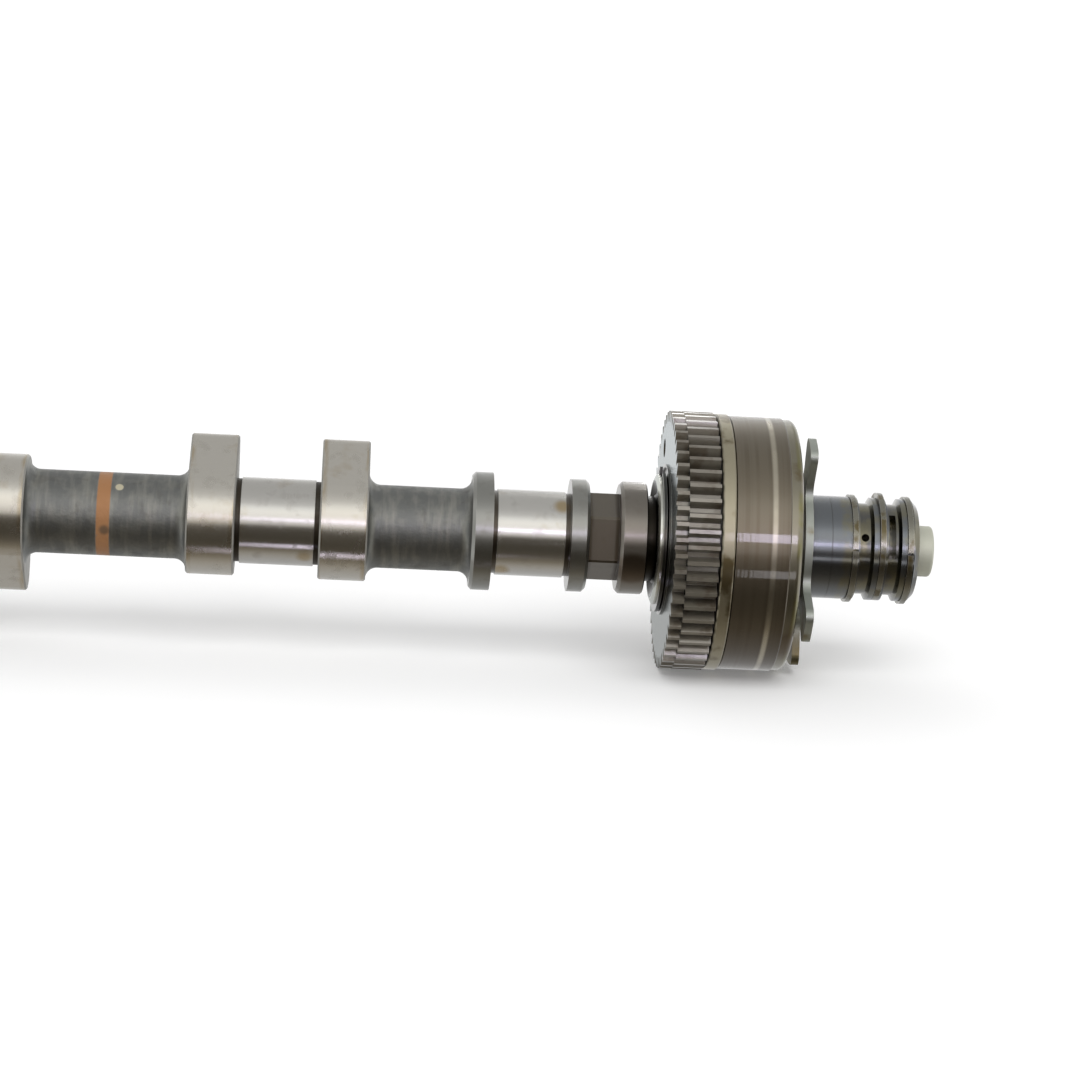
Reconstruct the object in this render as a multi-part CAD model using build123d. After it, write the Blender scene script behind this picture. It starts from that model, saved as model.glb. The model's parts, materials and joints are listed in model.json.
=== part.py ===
from build123d import *
from math import acos, cos, hypot, pi, radians, sin, tan
import os

# Camshaft with a vane-type timing unit and a split gear on its front end.
# Millimetres. The shaft turns about X, +X points to the timing unit, and the
# origin is the middle of the thrust journal. Angles round the shaft are in
# degrees from +Z towards +Y.

# Camshaft: bearings and lobes
bore_pitch = 105.5
front_pair_distance = 78.75
valve_spacing = 41.0
pair_nose_angles = [30, 165, 220, 120]
lobe_width = 14.9
lobe_chamfer = 0.5
base_radius = 17.4
lift = 10.1
nose_radius = 7.0
flank_radius = 150.0
shaft_radius = 13.0
journal_radius = 13.48
undercut_width = 1.6
undercut_depth = 0.5
casting_fillet = 3.6
rear_stub_length = 13.3
rear_chamfer = 1.0
centre_hole_radius = 4.0
centre_hole_depth = 9.5
centre_cone_depth = 1.5
drill_point_angle = 118.0

# Camshaft: thrust bearing, hexagon and nose
thrust_length = 24.3
rear_collar_width = 6.5
rear_collar_radius = 18.5
front_collar_width = 5.7
front_collar_radius = 17.65
collar_chamfer = 1.0
hex_length = 9.6
hex_flats = 24.0
hex_corner_radius = 13.6
hex_angle = 38.0
hex_root_depth = 0.5
shoulder_width = 8.4
shoulder_radius = 17.6
shoulder_chamfer = 1.0
shoulder_front_chamfer = 0.4
pilot_radius = 15.0
pilot_relief_radius = 13.4
spigot_radius = 10.0
spigot_length = 9.0
thread_depth = 32.0

# Running, sliding and pressed clearances, all radial or axial gaps
running_clearance = 0.05
side_clearance = 0.05
press_clearance = 0.02
seal_clearance = 0.05

# Gears
module = 1.5
teeth = 52
pressure_angle = 20.0
addendum = 1.0
dedendum = 1.25
main_gear_width = 9.7
sub_gear_width = 3.7
gear_gap = 0.1
main_tooth_angle = 3.05
sub_gear_angle = 3.0
gear_boss_height = 0.6
gear_boss_radius = 33.0
service_hole_radius = 3.0
service_hole_distance = 30.5
service_hole_angle = 31.0
service_thread_depth = 6.0

# Main gear's hub and what holds the sub gear on it
hub_gap = 2.8
hub_radius = 20.5
lip_length = 0.7
lip_radius = 18.9
mouth_radius = 18.1
mouth_depth = 2.2
ring_land_length = 0.7
snap_ring_width = 1.0
snap_ring_radius = 22.8
snap_ring_gap_angle = 24.0
snap_ring_eye_angle = 3.5
snap_ring_eye_radius = 0.8
snap_groove_depth = 1.0
washer_radius = 23.7
washer_height = 1.15
washer_thickness = 0.6
recess_depth = 4.6
scissor_spring_inner_radius = 22.7
scissor_spring_width = 4.1
scissor_spring_thickness = 4.0
scissor_spring_play = 0.5
scissor_end_gap_angle = 0.1
scissor_gap_angle = 36.0
scissor_centre_angle = 300.0
scissor_pin_share = 0.73
pin_seat_depth = 3.0

# Timing unit
rear_plate_thickness = 4.0
rear_plate_proud = 0.4
housing_depth = 17.1
housing_inset = 0.7
housing_chamfer = 0.4
housing_wall = 6.3
land_angle = 36.0
swing_angle = 25.0
stop_margin_angle = 1.0
cover_thickness = 3.8
cover_inset = 0.4
cover_fillet = 2.0
bolt_inset = 9.8
bolt_radius = 2.5
bolt_head_radius = 4.8
bolt_head_depth = 2.6
bolt_head_edge = 0.3
bolt_socket_flats = 3.0
bolt_socket_depth = 1.6
bolt_thread_length = 6.0
vane_count = 4
first_vane_angle = 30.0
rotor_hub_radius = 19.5
rotor_front_radius = 17.0
rotor_bore_radius = 5.4
feed_hole_radius = 1.25
seal_width = 2.0
seal_height = 3.0
seal_slot_depth = 3.8
leaf_thickness = 0.25
leaf_length = 12.0
leaf_width = 1.6

# Lock pin
lock_wall = 1.15
lock_pin_radius = 3.4
lock_pin_length = 9.0
lock_pin_bore_radius = 2.3
lock_pin_bore_depth = 6.5
lock_pin_tip = 0.5
lock_cap_wall = 1.1
lock_cap_end = 1.5
lock_cap_vent_radius = 1.0
lock_bush_radius = 5.0
lock_spring_radius = 1.6
lock_spring_wire = 0.35
lock_spring_turns = 3
lock_travel = 1.5
knock_pin_radius = 1.5
knock_pin_length = 6.0
knock_pin_distance = 12.4
knock_pin_angle = 75.0
knock_pin_end_gap = 0.2

# Trigger plate
trigger_gap = 3.0
trigger_thickness = 2.4
trigger_radius = 37.7
trigger_base_radius = 22.0
trigger_bore_radius = 12.0
trigger_corner_round = 3.0
trigger_root_round = 5.0
trigger_seat_step = 0.2
trigger_lobe_angles = [(330, 349), (228, 249), (152, 196), (45, 100)]

# Oil sleeve, seal rings and centre bolt
sleeve_plain_length = 9.95
sleeve_radius = 16.15
land_widths = [5.6, 5.2, 6.55]
oil_groove_widths = [3.6, 3.5]
oil_groove_radius = 14.3
oil_groove_lean = 0.9
sleeve_chamfer = 1.6
ring_groove_offsets = [3.2, 2.6, 2.6]
ring_groove_width = 1.9
ring_groove_radius = 13.9
seal_ring_width = 1.7
seal_ring_inner_radius = 14.9
seal_ring_outer_radius = 16.95
seal_ring_gap = 0.8
seal_ring_gap_angles = [281, 100, 279]
seal_ring_shifts = [-0.1, 0.85, 0.0]
oil_hole_radius = 1.25
oil_hole_angle = 296.5
oil_slot_angle = 301.5
oil_slot_span_angle = 60.0
oil_slot_width = 2.0
oil_slot_depth = 4.0
drilling_radius = 1.3
drilling_circle_radius = 10.2
feed_hole_angle = 4.0
centre_bolt_radius = 5.0
centre_bolt_head_radius = 8.0
centre_bolt_head_height = 10.0
centre_bolt_head_proud = 5.9
centre_bolt_round = 1.0
centre_bolt_socket_flats = 8.0
centre_bolt_socket_depth = 5.0
centre_bolt_end_gap = 1.0

# Places along the shaft
pair_places = [-front_pair_distance - k * bore_pitch for k in range(len(pair_nose_angles))]
rear_collar_back = -thrust_length / 2 - rear_collar_width
front_collar_front = thrust_length / 2 + front_collar_width
hex_front = front_collar_front + hex_length
shoulder_front = hex_front + shoulder_width
last_lobe_back = pair_places[-1] - valve_spacing / 2 - lobe_width / 2
rear_end = last_lobe_back - rear_stub_length
hub_back = shoulder_front + hub_gap
snap_groove_back = hub_back + lip_length + ring_land_length
snap_groove_front = snap_groove_back + snap_ring_width + 2 * side_clearance
washer_back = snap_groove_front - side_clearance
sub_gear_back = washer_back + washer_height
sub_gear_front = sub_gear_back + sub_gear_width
main_gear_back = sub_gear_front + gear_gap
main_gear_front = main_gear_back + main_gear_width
recess_floor = main_gear_back + recess_depth
rear_plate_back = main_gear_front + gear_boss_height
housing_back = rear_plate_back + rear_plate_thickness
housing_front = housing_back + housing_depth
cover_front = housing_front + cover_thickness
rotor_back = housing_back + side_clearance
rotor_front = housing_front - side_clearance
trigger_back = cover_front + trigger_gap
trigger_front = trigger_back + trigger_thickness
sleeve_land_start = trigger_front + sleeve_plain_length
sleeve_front = sleeve_land_start + sum(land_widths) + sum(oil_groove_widths)

# Radii and angles that follow from the sizes
full_turn_angle = 360.0
sector_angle = full_turn_angle / vane_count
vane_angle = sector_angle - land_angle - swing_angle - 2 * stop_margin_angle
land_centre = first_vane_angle + vane_angle / 2 + stop_margin_angle + swing_angle + land_angle / 2
gear_tip_radius = module * (teeth / 2 + addendum)
housing_radius = gear_tip_radius - housing_inset
rear_plate_radius = housing_radius + rear_plate_proud
cover_radius = housing_radius - cover_inset
chamber_radius = housing_radius - housing_wall
bolt_circle_radius = housing_radius - bolt_inset
vane_tip_radius = chamber_radius - 2 * running_clearance
lock_bore_radius = lock_pin_radius + running_clearance
lock_circle_radius = vane_tip_radius - seal_slot_depth - lock_wall - lock_bore_radius
scissor_spring_outer_radius = scissor_spring_inner_radius + scissor_spring_width
recess_inner_radius = scissor_spring_inner_radius - scissor_spring_play
recess_outer_radius = scissor_spring_outer_radius + scissor_spring_play
scissor_pin_radius = scissor_pin_share * scissor_spring_width / 2
scissor_pin_distance = (scissor_spring_inner_radius + scissor_spring_outer_radius) / 2
pin_half_angle = scissor_pin_radius / scissor_pin_distance * 180 / pi
gear_pin_angle = scissor_centre_angle + scissor_gap_angle / 2 - pin_half_angle
sub_pin_angle = scissor_centre_angle - scissor_gap_angle / 2 + pin_half_angle


def turned(*corners):
    "Solid of revolution round the shaft axis, from (x, radius) corners."
    return revolve(make_face(Polyline(*corners, close=True)), Axis.X)


def round_point(radius, angle):
    "Point of a section across the shaft, in that section's own (Y, Z) axes."
    return (radius * sin(radians(angle)), radius * cos(radians(angle)))


def section(x):
    "Plane across the shaft at x, with its own axes along Y and Z."
    return Plane(origin=(x, 0, 0), x_dir=(0, 1, 0), z_dir=(1, 0, 0))


def slab(sketch, back, front):
    "Section sketch made solid between two places along the shaft."
    return extrude(section(back) * sketch, amount=front - back, dir=(1, 0, 0))


def rod(radius, back, front, distance=0.0, angle=0.0):
    "Round bar or hole along the shaft, at a distance from the axis."
    return slab(Pos(*round_point(distance, angle)) * Circle(radius), back, front)


def sector(inner, outer, start, end):
    "Part of a ring between two angles."
    middle = (start + end) / 2
    outer_arc = ThreePointArc(*[round_point(outer, a) for a in (start, middle, end)])
    inner_arc = ThreePointArc(*[round_point(inner, a) for a in (end, middle, start)])
    sides = [Line(outer_arc @ 1, inner_arc @ 0), Line(inner_arc @ 1, outer_arc @ 0)]
    return make_face([outer_arc, sides[0], inner_arc, sides[1]])


def ring(inner, outer):
    return Circle(outer) - Circle(inner)


def hexagon(flats, angle=0.0):
    return RegularPolygon(radius=flats / 2, side_count=6, major_radius=False, rotation=90 - angle)


def radial_hole(radius, x, angle, start, end):
    "Round hole square to the shaft, between two distances from the axis."
    y, z = round_point(1.0, angle)
    mouth = Plane(origin=(x, start * y, start * z), x_dir=(1, 0, 0), z_dir=(0, y, z))
    return extrude(mouth * Circle(radius), amount=end - start)


def journal(back, front, radius):
    "Ground journal with a relief groove at each end, as profile corners."
    low = radius - undercut_depth
    return [
        (back, low), (back + undercut_width, low), (back + undercut_width, radius),
        (front - undercut_width, radius), (front - undercut_width, low), (front, low),
    ]


def lobe_outline():
    "Cam section with its nose up: base circle, two large flank arcs and nose arc."
    nose_distance = base_radius + lift - nose_radius
    to_base = flank_radius - base_radius
    to_nose = flank_radius - nose_radius
    cosine = (to_base**2 + nose_distance**2 - to_nose**2) / (2 * to_base * nose_distance)
    turn = acos(cosine)
    centre = (-to_base * sin(turn), to_base * cos(turn))
    low = (base_radius * sin(turn), -base_radius * cos(turn))
    away = (-centre[0] / to_nose, (nose_distance - centre[1]) / to_nose)
    high = (nose_radius * away[0], nose_distance + nose_radius * away[1])
    half = ((low[0] + high[0]) / 2 - centre[0], (low[1] + high[1]) / 2 - centre[1])
    reach = flank_radius / hypot(*half)
    bulge = (centre[0] + half[0] * reach, centre[1] + half[1] * reach)
    mirrored = [(-x, y) for x, y in (low, bulge, high)]
    return make_face([
        ThreePointArc(low, bulge, high),
        ThreePointArc(high, (0, base_radius + lift), mirrored[2]),
        ThreePointArc(mirrored[2], mirrored[1], mirrored[0]),
        ThreePointArc(mirrored[0], (0, -base_radius), low),
    ])


def lobe(place, nose_angle):
    back = place - lobe_width / 2
    solid = slab(Rot(0, 0, -nose_angle) * lobe_outline(), back, back + lobe_width)
    rims = [e for e in solid.edges() if e.bounding_box().size.X < 0.001]
    return chamfer(rims, lobe_chamfer)


def shaft_body():
    "Turned and cast body of the camshaft, without lobes and hexagon."
    disc_radius = shaft_radius + casting_fillet
    corners = [(rear_end, 0), (rear_end, shaft_radius - rear_chamfer)]
    corners += [(rear_end + rear_chamfer, shaft_radius)]
    roots = []
    for place in reversed(pair_places):
        rear_face = place - valve_spacing / 2 - lobe_width / 2
        front_face = place + valve_spacing / 2 + lobe_width / 2
        corners += [(rear_face, shaft_radius), (rear_face, disc_radius)]
        corners += [(rear_face + lobe_width, disc_radius)]
        corners += journal(rear_face + lobe_width, front_face - lobe_width, journal_radius)
        corners += [(front_face - lobe_width, disc_radius)]
        corners += [(front_face, disc_radius), (front_face, shaft_radius)]
        roots += [rear_face, front_face]
    roots += [rear_collar_back]
    corners += [(rear_collar_back, shaft_radius)]
    corners += [(rear_collar_back, rear_collar_radius - collar_chamfer)]
    corners += [(rear_collar_back + collar_chamfer, rear_collar_radius)]
    corners += [(-thrust_length / 2, rear_collar_radius)]
    corners += journal(-thrust_length / 2, thrust_length / 2, journal_radius)
    corners += [(thrust_length / 2, front_collar_radius)]
    corners += [(front_collar_front - collar_chamfer, front_collar_radius)]
    corners += [(front_collar_front, front_collar_radius - collar_chamfer)]
    hex_core = hex_flats / 2 - hex_root_depth
    corners += [(front_collar_front, hex_core), (hex_front, hex_core)]
    corners += [(hex_front, shoulder_radius - shoulder_chamfer)]
    corners += [(hex_front + shoulder_chamfer, shoulder_radius)]
    corners += [(shoulder_front - shoulder_front_chamfer, shoulder_radius)]
    corners += [(shoulder_front, shoulder_radius - shoulder_front_chamfer)]
    corners += [(shoulder_front, pilot_relief_radius), (hub_back, pilot_relief_radius)]
    corners += [(hub_back + pilot_radius - pilot_relief_radius, pilot_radius)]
    corners += [(rotor_back, pilot_radius), (rotor_back, spigot_radius)]
    corners += [(rotor_back + spigot_length, spigot_radius), (rotor_back + spigot_length, 0)]
    outline = make_face(Polyline(*corners, close=True))
    blended = [
        v for v in outline.vertices()
        if abs(v.Y - shaft_radius) < 0.01 and min(abs(v.X - x) for x in roots) < 0.01
    ]
    return revolve(fillet(blended, casting_fillet), Axis.X)


def make_camshaft():
    shaft = shaft_body()
    for place, nose_angle in zip(pair_places, pair_nose_angles):
        for side in (-1, 1):
            shaft += lobe(place + side * valve_spacing / 2, nose_angle)
    grip = hexagon(hex_flats, hex_angle + 30) & Circle(hex_corner_radius)
    shaft += slab(grip, front_collar_front, hex_front)
    nose_face = rotor_back + spigot_length
    shaft -= rod(centre_bolt_radius + press_clearance, nose_face - thread_depth, nose_face)
    shaft -= rod(
        knock_pin_radius + press_clearance, rotor_back - knock_pin_length / 2, rotor_back,
        knock_pin_distance, knock_pin_angle,
    )
    shaft -= turned(
        (rear_end, 0), (rear_end, centre_hole_radius + centre_cone_depth),
        (rear_end + centre_cone_depth, centre_hole_radius),
        (rear_end + centre_hole_depth, centre_hole_radius),
        (rear_end + centre_hole_depth + centre_hole_radius / tan(radians(drill_point_angle / 2)), 0),
    )
    return shaft


def involute(angle):
    return tan(angle) - angle


def tooth_half_angle(radius):
    "Half the angle of a tooth at a radius, in degrees, for an involute flank."
    pressure = radians(pressure_angle)
    base = module * teeth / 2 * cos(pressure)
    half = pi / (2 * teeth) + involute(pressure) - involute(acos(min(1.0, base / radius)))
    return half * 180 / pi


def gear_outline(first_tooth):
    pitch_radius = module * teeth / 2
    root_radius = pitch_radius - dedendum * module
    tip_half = tooth_half_angle(gear_tip_radius)
    pitch_half = tooth_half_angle(pitch_radius)
    root_half = tooth_half_angle(root_radius)
    edges = []
    for k in range(teeth):
        here = first_tooth + full_turn_angle / teeth * k
        onward = here + full_turn_angle / teeth
        foot = round_point(root_radius, here - root_half)
        shoulder = round_point(gear_tip_radius, here - tip_half)
        far_shoulder = round_point(gear_tip_radius, here + tip_half)
        far_foot = round_point(root_radius, here + root_half)
        next_foot = round_point(root_radius, onward - root_half)
        edges += [
            ThreePointArc(foot, round_point(pitch_radius, here - pitch_half), shoulder),
            Line(shoulder, far_shoulder),
            ThreePointArc(far_shoulder, round_point(pitch_radius, here + pitch_half), far_foot),
            Line(far_foot, next_foot),
        ]
    return make_face(edges)


def make_main_gear():
    toothed = slab(gear_outline(main_tooth_angle), main_gear_back, main_gear_front)
    groove_radius = hub_radius - snap_groove_depth
    bore_radius = pilot_radius + running_clearance
    hub = turned(
        (hub_back, mouth_radius), (hub_back, lip_radius), (hub_back + lip_length, hub_radius),
        (snap_groove_back, hub_radius), (snap_groove_back, groove_radius),
        (snap_groove_front, groove_radius), (snap_groove_front, hub_radius),
        (recess_floor, hub_radius), (recess_floor, bore_radius),
        (hub_back + mouth_depth, bore_radius),
    )
    boss = rod(gear_boss_radius, main_gear_back, rear_plate_back)
    gear = toothed + boss + hub - rod(bore_radius, hub_back, rear_plate_back)
    gear -= slab(ring(recess_inner_radius, recess_outer_radius), main_gear_back, recess_floor)
    gear -= rod(
        service_hole_radius, main_gear_back, main_gear_back + service_thread_depth,
        service_hole_distance, service_hole_angle - sub_gear_angle,
    )
    gear -= rod(
        scissor_pin_radius + press_clearance, recess_floor, recess_floor + pin_seat_depth,
        scissor_pin_distance, gear_pin_angle,
    )
    for angle in land_places():
        gear -= rod(
            bolt_radius + press_clearance, rear_plate_back - bolt_thread_length, rear_plate_back,
            bolt_circle_radius, angle,
        )
    return gear


def make_sub_gear():
    gear = slab(gear_outline(main_tooth_angle + sub_gear_angle), sub_gear_back, sub_gear_front)
    gear -= rod(hub_radius + running_clearance, sub_gear_back, sub_gear_front)
    gear -= rod(
        service_hole_radius, sub_gear_back, sub_gear_front, service_hole_distance, service_hole_angle
    )
    gear -= rod(
        scissor_pin_radius + press_clearance, sub_gear_front - pin_seat_depth, sub_gear_front,
        scissor_pin_distance, sub_pin_angle,
    )
    return gear


def make_scissor_pins():
    spring_front = recess_floor - side_clearance
    gear_pin = rod(
        scissor_pin_radius, recess_floor - scissor_spring_thickness, recess_floor + pin_seat_depth,
        scissor_pin_distance, gear_pin_angle,
    )
    sub_pin = rod(
        scissor_pin_radius, sub_gear_front - pin_seat_depth, spring_front - side_clearance,
        scissor_pin_distance, sub_pin_angle,
    )
    return gear_pin, sub_pin


def make_scissor_spring():
    end_gap = scissor_gap_angle / 2 + scissor_end_gap_angle
    start = scissor_centre_angle + end_gap
    end = scissor_centre_angle + full_turn_angle - end_gap
    outline = sector(scissor_spring_inner_radius, scissor_spring_outer_radius, start, end)
    front = recess_floor - side_clearance
    return slab(outline, front - scissor_spring_thickness, front)


def make_snap_ring():
    back = snap_groove_back + side_clearance
    inner = hub_radius - snap_groove_depth + press_clearance
    half_gap = snap_ring_gap_angle / 2
    outline = sector(inner, snap_ring_radius, half_gap, full_turn_angle - half_gap)
    ring_solid = slab(outline, back, back + snap_ring_width)
    eye_angle = half_gap + snap_ring_eye_angle
    eye_distance = (inner + snap_ring_radius) / 2
    for angle in (eye_angle, -eye_angle):
        ring_solid -= rod(snap_ring_eye_radius, back, back + snap_ring_width, eye_distance, angle)
    return ring_solid


def make_spring_washer():
    "Dished spring washer, its inner edge on the snap ring and outer edge on the sub gear."
    inner = hub_radius + 2 * running_clearance
    return turned(
        (washer_back, inner), (washer_back + washer_thickness, inner),
        (sub_gear_back, washer_radius), (sub_gear_back - washer_thickness, washer_radius),
    )


def land_places():
    "Angles of the housing's lands, each with its bolt, at rest."
    return [land_centre + sector_angle * k for k in range(vane_count)]


def vane_places():
    return [first_vane_angle + sector_angle * k for k in range(vane_count)]


def make_rear_plate():
    outline = Circle(rear_plate_radius) - Circle(pilot_radius + running_clearance)
    plate = slab(outline, rear_plate_back, housing_back)
    rims = plate.edges().filter_by(GeomType.CIRCLE).filter_by(
        lambda e: abs(e.radius - rear_plate_radius) < 0.01
    )
    plate = chamfer(rims, housing_chamfer)
    plate -= rod(
        lock_bush_radius + press_clearance, rear_plate_back, housing_back,
        lock_circle_radius, first_vane_angle,
    )
    for angle in land_places():
        plate -= rod(
            bolt_radius + press_clearance, rear_plate_back, housing_back, bolt_circle_radius, angle
        )
    return plate


def make_lock_bush():
    outline = Pos(*round_point(lock_circle_radius, first_vane_angle)) * ring(
        lock_bore_radius, lock_bush_radius
    )
    return slab(outline, rear_plate_back, housing_back - side_clearance)


def seal_slot(x_back, x_front, angle, inner, outer):
    "Slot or bar across a vane tip or land tip, square to the shaft."
    bar = Rectangle(seal_width, outer - inner)
    middle = (inner + outer) / 2
    placed = Pos(*round_point(middle, angle)) * Rot(0, 0, -angle) * bar
    return slab(placed, x_back, x_front)


def leaf_spring(angle, foot, crown):
    "Bowed leaf under a seal: its ends stand at one distance from the axis, its middle at another."
    half = leaf_length / 2
    step = leaf_thickness if crown > foot else -leaf_thickness
    y, z = round_point(1.0, angle)
    middle = ((housing_back + housing_front) / 2, 0, 0)
    side = Plane(origin=middle, x_dir=(1, 0, 0), z_dir=(0, z, -y))
    outline = make_face([
        ThreePointArc((-half, foot), (0, crown - step), (half, foot)),
        Line((half, foot), (half, foot + step)),
        ThreePointArc((half, foot + step), (0, crown), (-half, foot + step)),
        Line((-half, foot + step), (-half, foot)),
    ])
    return extrude(side * outline, amount=leaf_width / 2, both=True)


def make_housing():
    drum = slab(Circle(housing_radius), housing_back, housing_front)
    drum = chamfer(drum.edges().filter_by(GeomType.CIRCLE), housing_chamfer)
    drum -= rod(chamber_radius, housing_back, housing_front)
    tip = rotor_hub_radius + 2 * running_clearance
    for angle in land_places():
        half = land_angle / 2
        land = sector(tip, (chamber_radius + housing_radius) / 2, angle - half, angle + half)
        drum += slab(land, housing_back, housing_front)
    for angle in land_places():
        drum -= rod(
            bolt_radius + press_clearance, housing_back, housing_front, bolt_circle_radius, angle
        )
        drum -= seal_slot(
            housing_back, housing_front, angle, rotor_hub_radius, rotor_hub_radius + seal_slot_depth
        )
    return drum


def make_cover_plate():
    plate = rod(cover_radius, housing_front, cover_front)
    front_rim = plate.edges().filter_by(GeomType.CIRCLE).sort_by(Axis.X)[-1]
    plate = fillet(front_rim, cover_fillet)
    plate -= rod(rotor_front_radius + running_clearance, housing_front, cover_front)
    for angle in land_places():
        plate -= rod(
            bolt_radius + press_clearance, housing_front, cover_front, bolt_circle_radius, angle
        )
        plate -= bolt_head(angle, press_clearance)
    return plate


def bolt_head(angle, clearance):
    "Countersunk head, flush with the cover's front."
    cone = revolve(
        make_face(Polyline(
            (cover_front - bolt_head_depth, 0), (cover_front - bolt_head_depth, bolt_radius + clearance),
            (cover_front - bolt_head_edge, bolt_head_radius + clearance),
            (cover_front, bolt_head_radius + clearance),
            (cover_front, 0), close=True,
        )),
        Axis.X,
    )
    y, z = round_point(bolt_circle_radius, angle)
    return Pos(0, y, z) * cone


def make_housing_bolts():
    bolts = []
    for angle in land_places():
        shank = rod(
            bolt_radius, rear_plate_back - bolt_thread_length, cover_front - bolt_head_depth,
            bolt_circle_radius, angle,
        )
        socket = Pos(*round_point(bolt_circle_radius, angle)) * hexagon(bolt_socket_flats)
        bolt = shank + bolt_head(angle, 0.0)
        bolts.append(bolt - slab(socket, cover_front - bolt_socket_depth, cover_front))
    return Compound(children=bolts)


def drilling_places():
    "Angles of the oil drillings from the sleeve into the rotor, one for each chamber."
    return [angle + vane_angle / 2 + feed_hole_angle for angle in vane_places()]


def make_rotor():
    half = vane_angle / 2
    rotor = slab(Circle(rotor_hub_radius), rotor_back, rotor_front)
    for angle in vane_places():
        vane = sector(spigot_radius, vane_tip_radius, angle - half, angle + half)
        rotor += slab(vane, rotor_back, rotor_front)
    rotor += rod(rotor_front_radius, rotor_front, trigger_back)
    seat_front = trigger_front - trigger_seat_step
    rotor += rod(trigger_bore_radius - press_clearance, trigger_back, seat_front)
    rotor -= rod(rotor_bore_radius, rotor_back, trigger_front)
    rotor -= rod(
        spigot_radius + press_clearance, rotor_back, rotor_back + spigot_length + side_clearance
    )
    rotor -= rod(
        knock_pin_radius + press_clearance, rotor_back,
        rotor_back + knock_pin_length / 2 + knock_pin_end_gap, knock_pin_distance, knock_pin_angle,
    )
    rotor -= rod(
        lock_bore_radius, rotor_back, rotor_front, lock_circle_radius, first_vane_angle,
    )
    rear_feed = rotor_back + housing_depth / 4
    front_feed = rotor_front - housing_depth / 4
    for angle in vane_places():
        slot_floor = vane_tip_radius - seal_slot_depth
        rotor -= seal_slot(rotor_back, rotor_front, angle, slot_floor, chamber_radius)
        for side, x in ((-1, rear_feed), (1, front_feed)):
            hole_angle = angle + side * (half + feed_hole_angle)
            rotor -= radial_hole(feed_hole_radius, x, hole_angle, spigot_radius, vane_tip_radius)
    for angle in drilling_places():
        rotor -= rod(drilling_radius, front_feed, trigger_front, drilling_circle_radius, angle)
    return rotor


def make_seal(angle, inner, outer):
    return seal_slot(rotor_back + side_clearance, rotor_front - side_clearance, angle, inner, outer)


def make_vane_seals():
    outer = chamber_radius - seal_clearance
    return [make_seal(angle, outer - seal_height, outer) for angle in vane_places()]


def make_land_seals():
    inner = rotor_hub_radius + seal_clearance
    return [make_seal(angle, inner, inner + seal_height) for angle in land_places()]


def make_vane_seal_springs():
    foot = vane_tip_radius - seal_slot_depth
    crown = chamber_radius - seal_clearance - seal_height
    return Compound(children=[leaf_spring(angle, foot, crown) for angle in vane_places()])


def make_land_seal_springs():
    foot = rotor_hub_radius + seal_slot_depth
    crown = rotor_hub_radius + seal_clearance + seal_height
    return Compound(children=[leaf_spring(angle, foot, crown) for angle in land_places()])


def make_lock_pin():
    back = rotor_back
    pin = rod(lock_pin_radius, back, back + lock_pin_length, lock_circle_radius, first_vane_angle)
    tip = pin.edges().filter_by(GeomType.CIRCLE).sort_by(Axis.X)[0]
    pin = chamfer(tip, lock_pin_tip)
    bore_back = back + lock_pin_length - lock_pin_bore_depth
    pin -= rod(
        lock_pin_bore_radius, bore_back, back + lock_pin_length, lock_circle_radius, first_vane_angle
    )
    return pin


def make_lock_cap():
    "Cap in the front of the pin's bore: its skirt stops the pin, its end wall holds the spring."
    back = rotor_back + lock_pin_length + lock_travel
    end_wall = rotor_front - lock_cap_end
    place = (lock_circle_radius, first_vane_angle)
    cap = rod(lock_pin_radius, back, rotor_front, *place)
    cap -= rod(lock_pin_radius - lock_cap_wall, back, end_wall, *place)
    return cap - rod(lock_cap_vent_radius, end_wall, rotor_front, *place)


def make_lock_spring():
    start = rotor_back + lock_pin_length - lock_pin_bore_depth + lock_spring_wire
    end = rotor_front - lock_cap_end - lock_spring_wire
    length = end - start
    y, z = round_point(lock_circle_radius, first_vane_angle)
    seat = Plane(origin=(start, y, z), x_dir=(0, 1, 0), z_dir=(1, 0, 0))
    path = seat * Helix(length / lock_spring_turns, length, lock_spring_radius)
    wire_section = Plane(origin=path @ 0, z_dir=path % 0) * RegularPolygon(lock_spring_wire, 6)
    return sweep(wire_section, path=path, is_frenet=True)


def make_knock_pin():
    return rod(
        knock_pin_radius, rotor_back - knock_pin_length / 2, rotor_back + knock_pin_length / 2,
        knock_pin_distance, knock_pin_angle,
    )


def make_trigger_plate():
    outline = Circle(trigger_base_radius)
    for start, end in trigger_lobe_angles:
        outline += sector(trigger_bore_radius, trigger_radius, start, end)
    middle = (trigger_base_radius + trigger_radius) / 2
    corners = [v for v in outline.vertices() if hypot(v.X, v.Y) > middle]
    outline = fillet(corners, trigger_corner_round)
    roots = [v for v in outline.vertices() if hypot(v.X, v.Y) < middle]
    outline = fillet(roots, trigger_root_round)
    outline -= Circle(trigger_bore_radius)
    return slab(outline, trigger_back, trigger_front)


def sleeve_lands():
    "Back and front of each land of the sleeve, in order."
    lands = []
    back = sleeve_land_start
    for k, width in enumerate(land_widths):
        lands.append((back, back + width))
        if k < len(oil_groove_widths):
            back += width + oil_groove_widths[k]
    return lands


def ring_grooves():
    "Back of each seal ring groove in its land."
    return [back + offset for (back, front), offset in zip(sleeve_lands(), ring_groove_offsets)]


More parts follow.
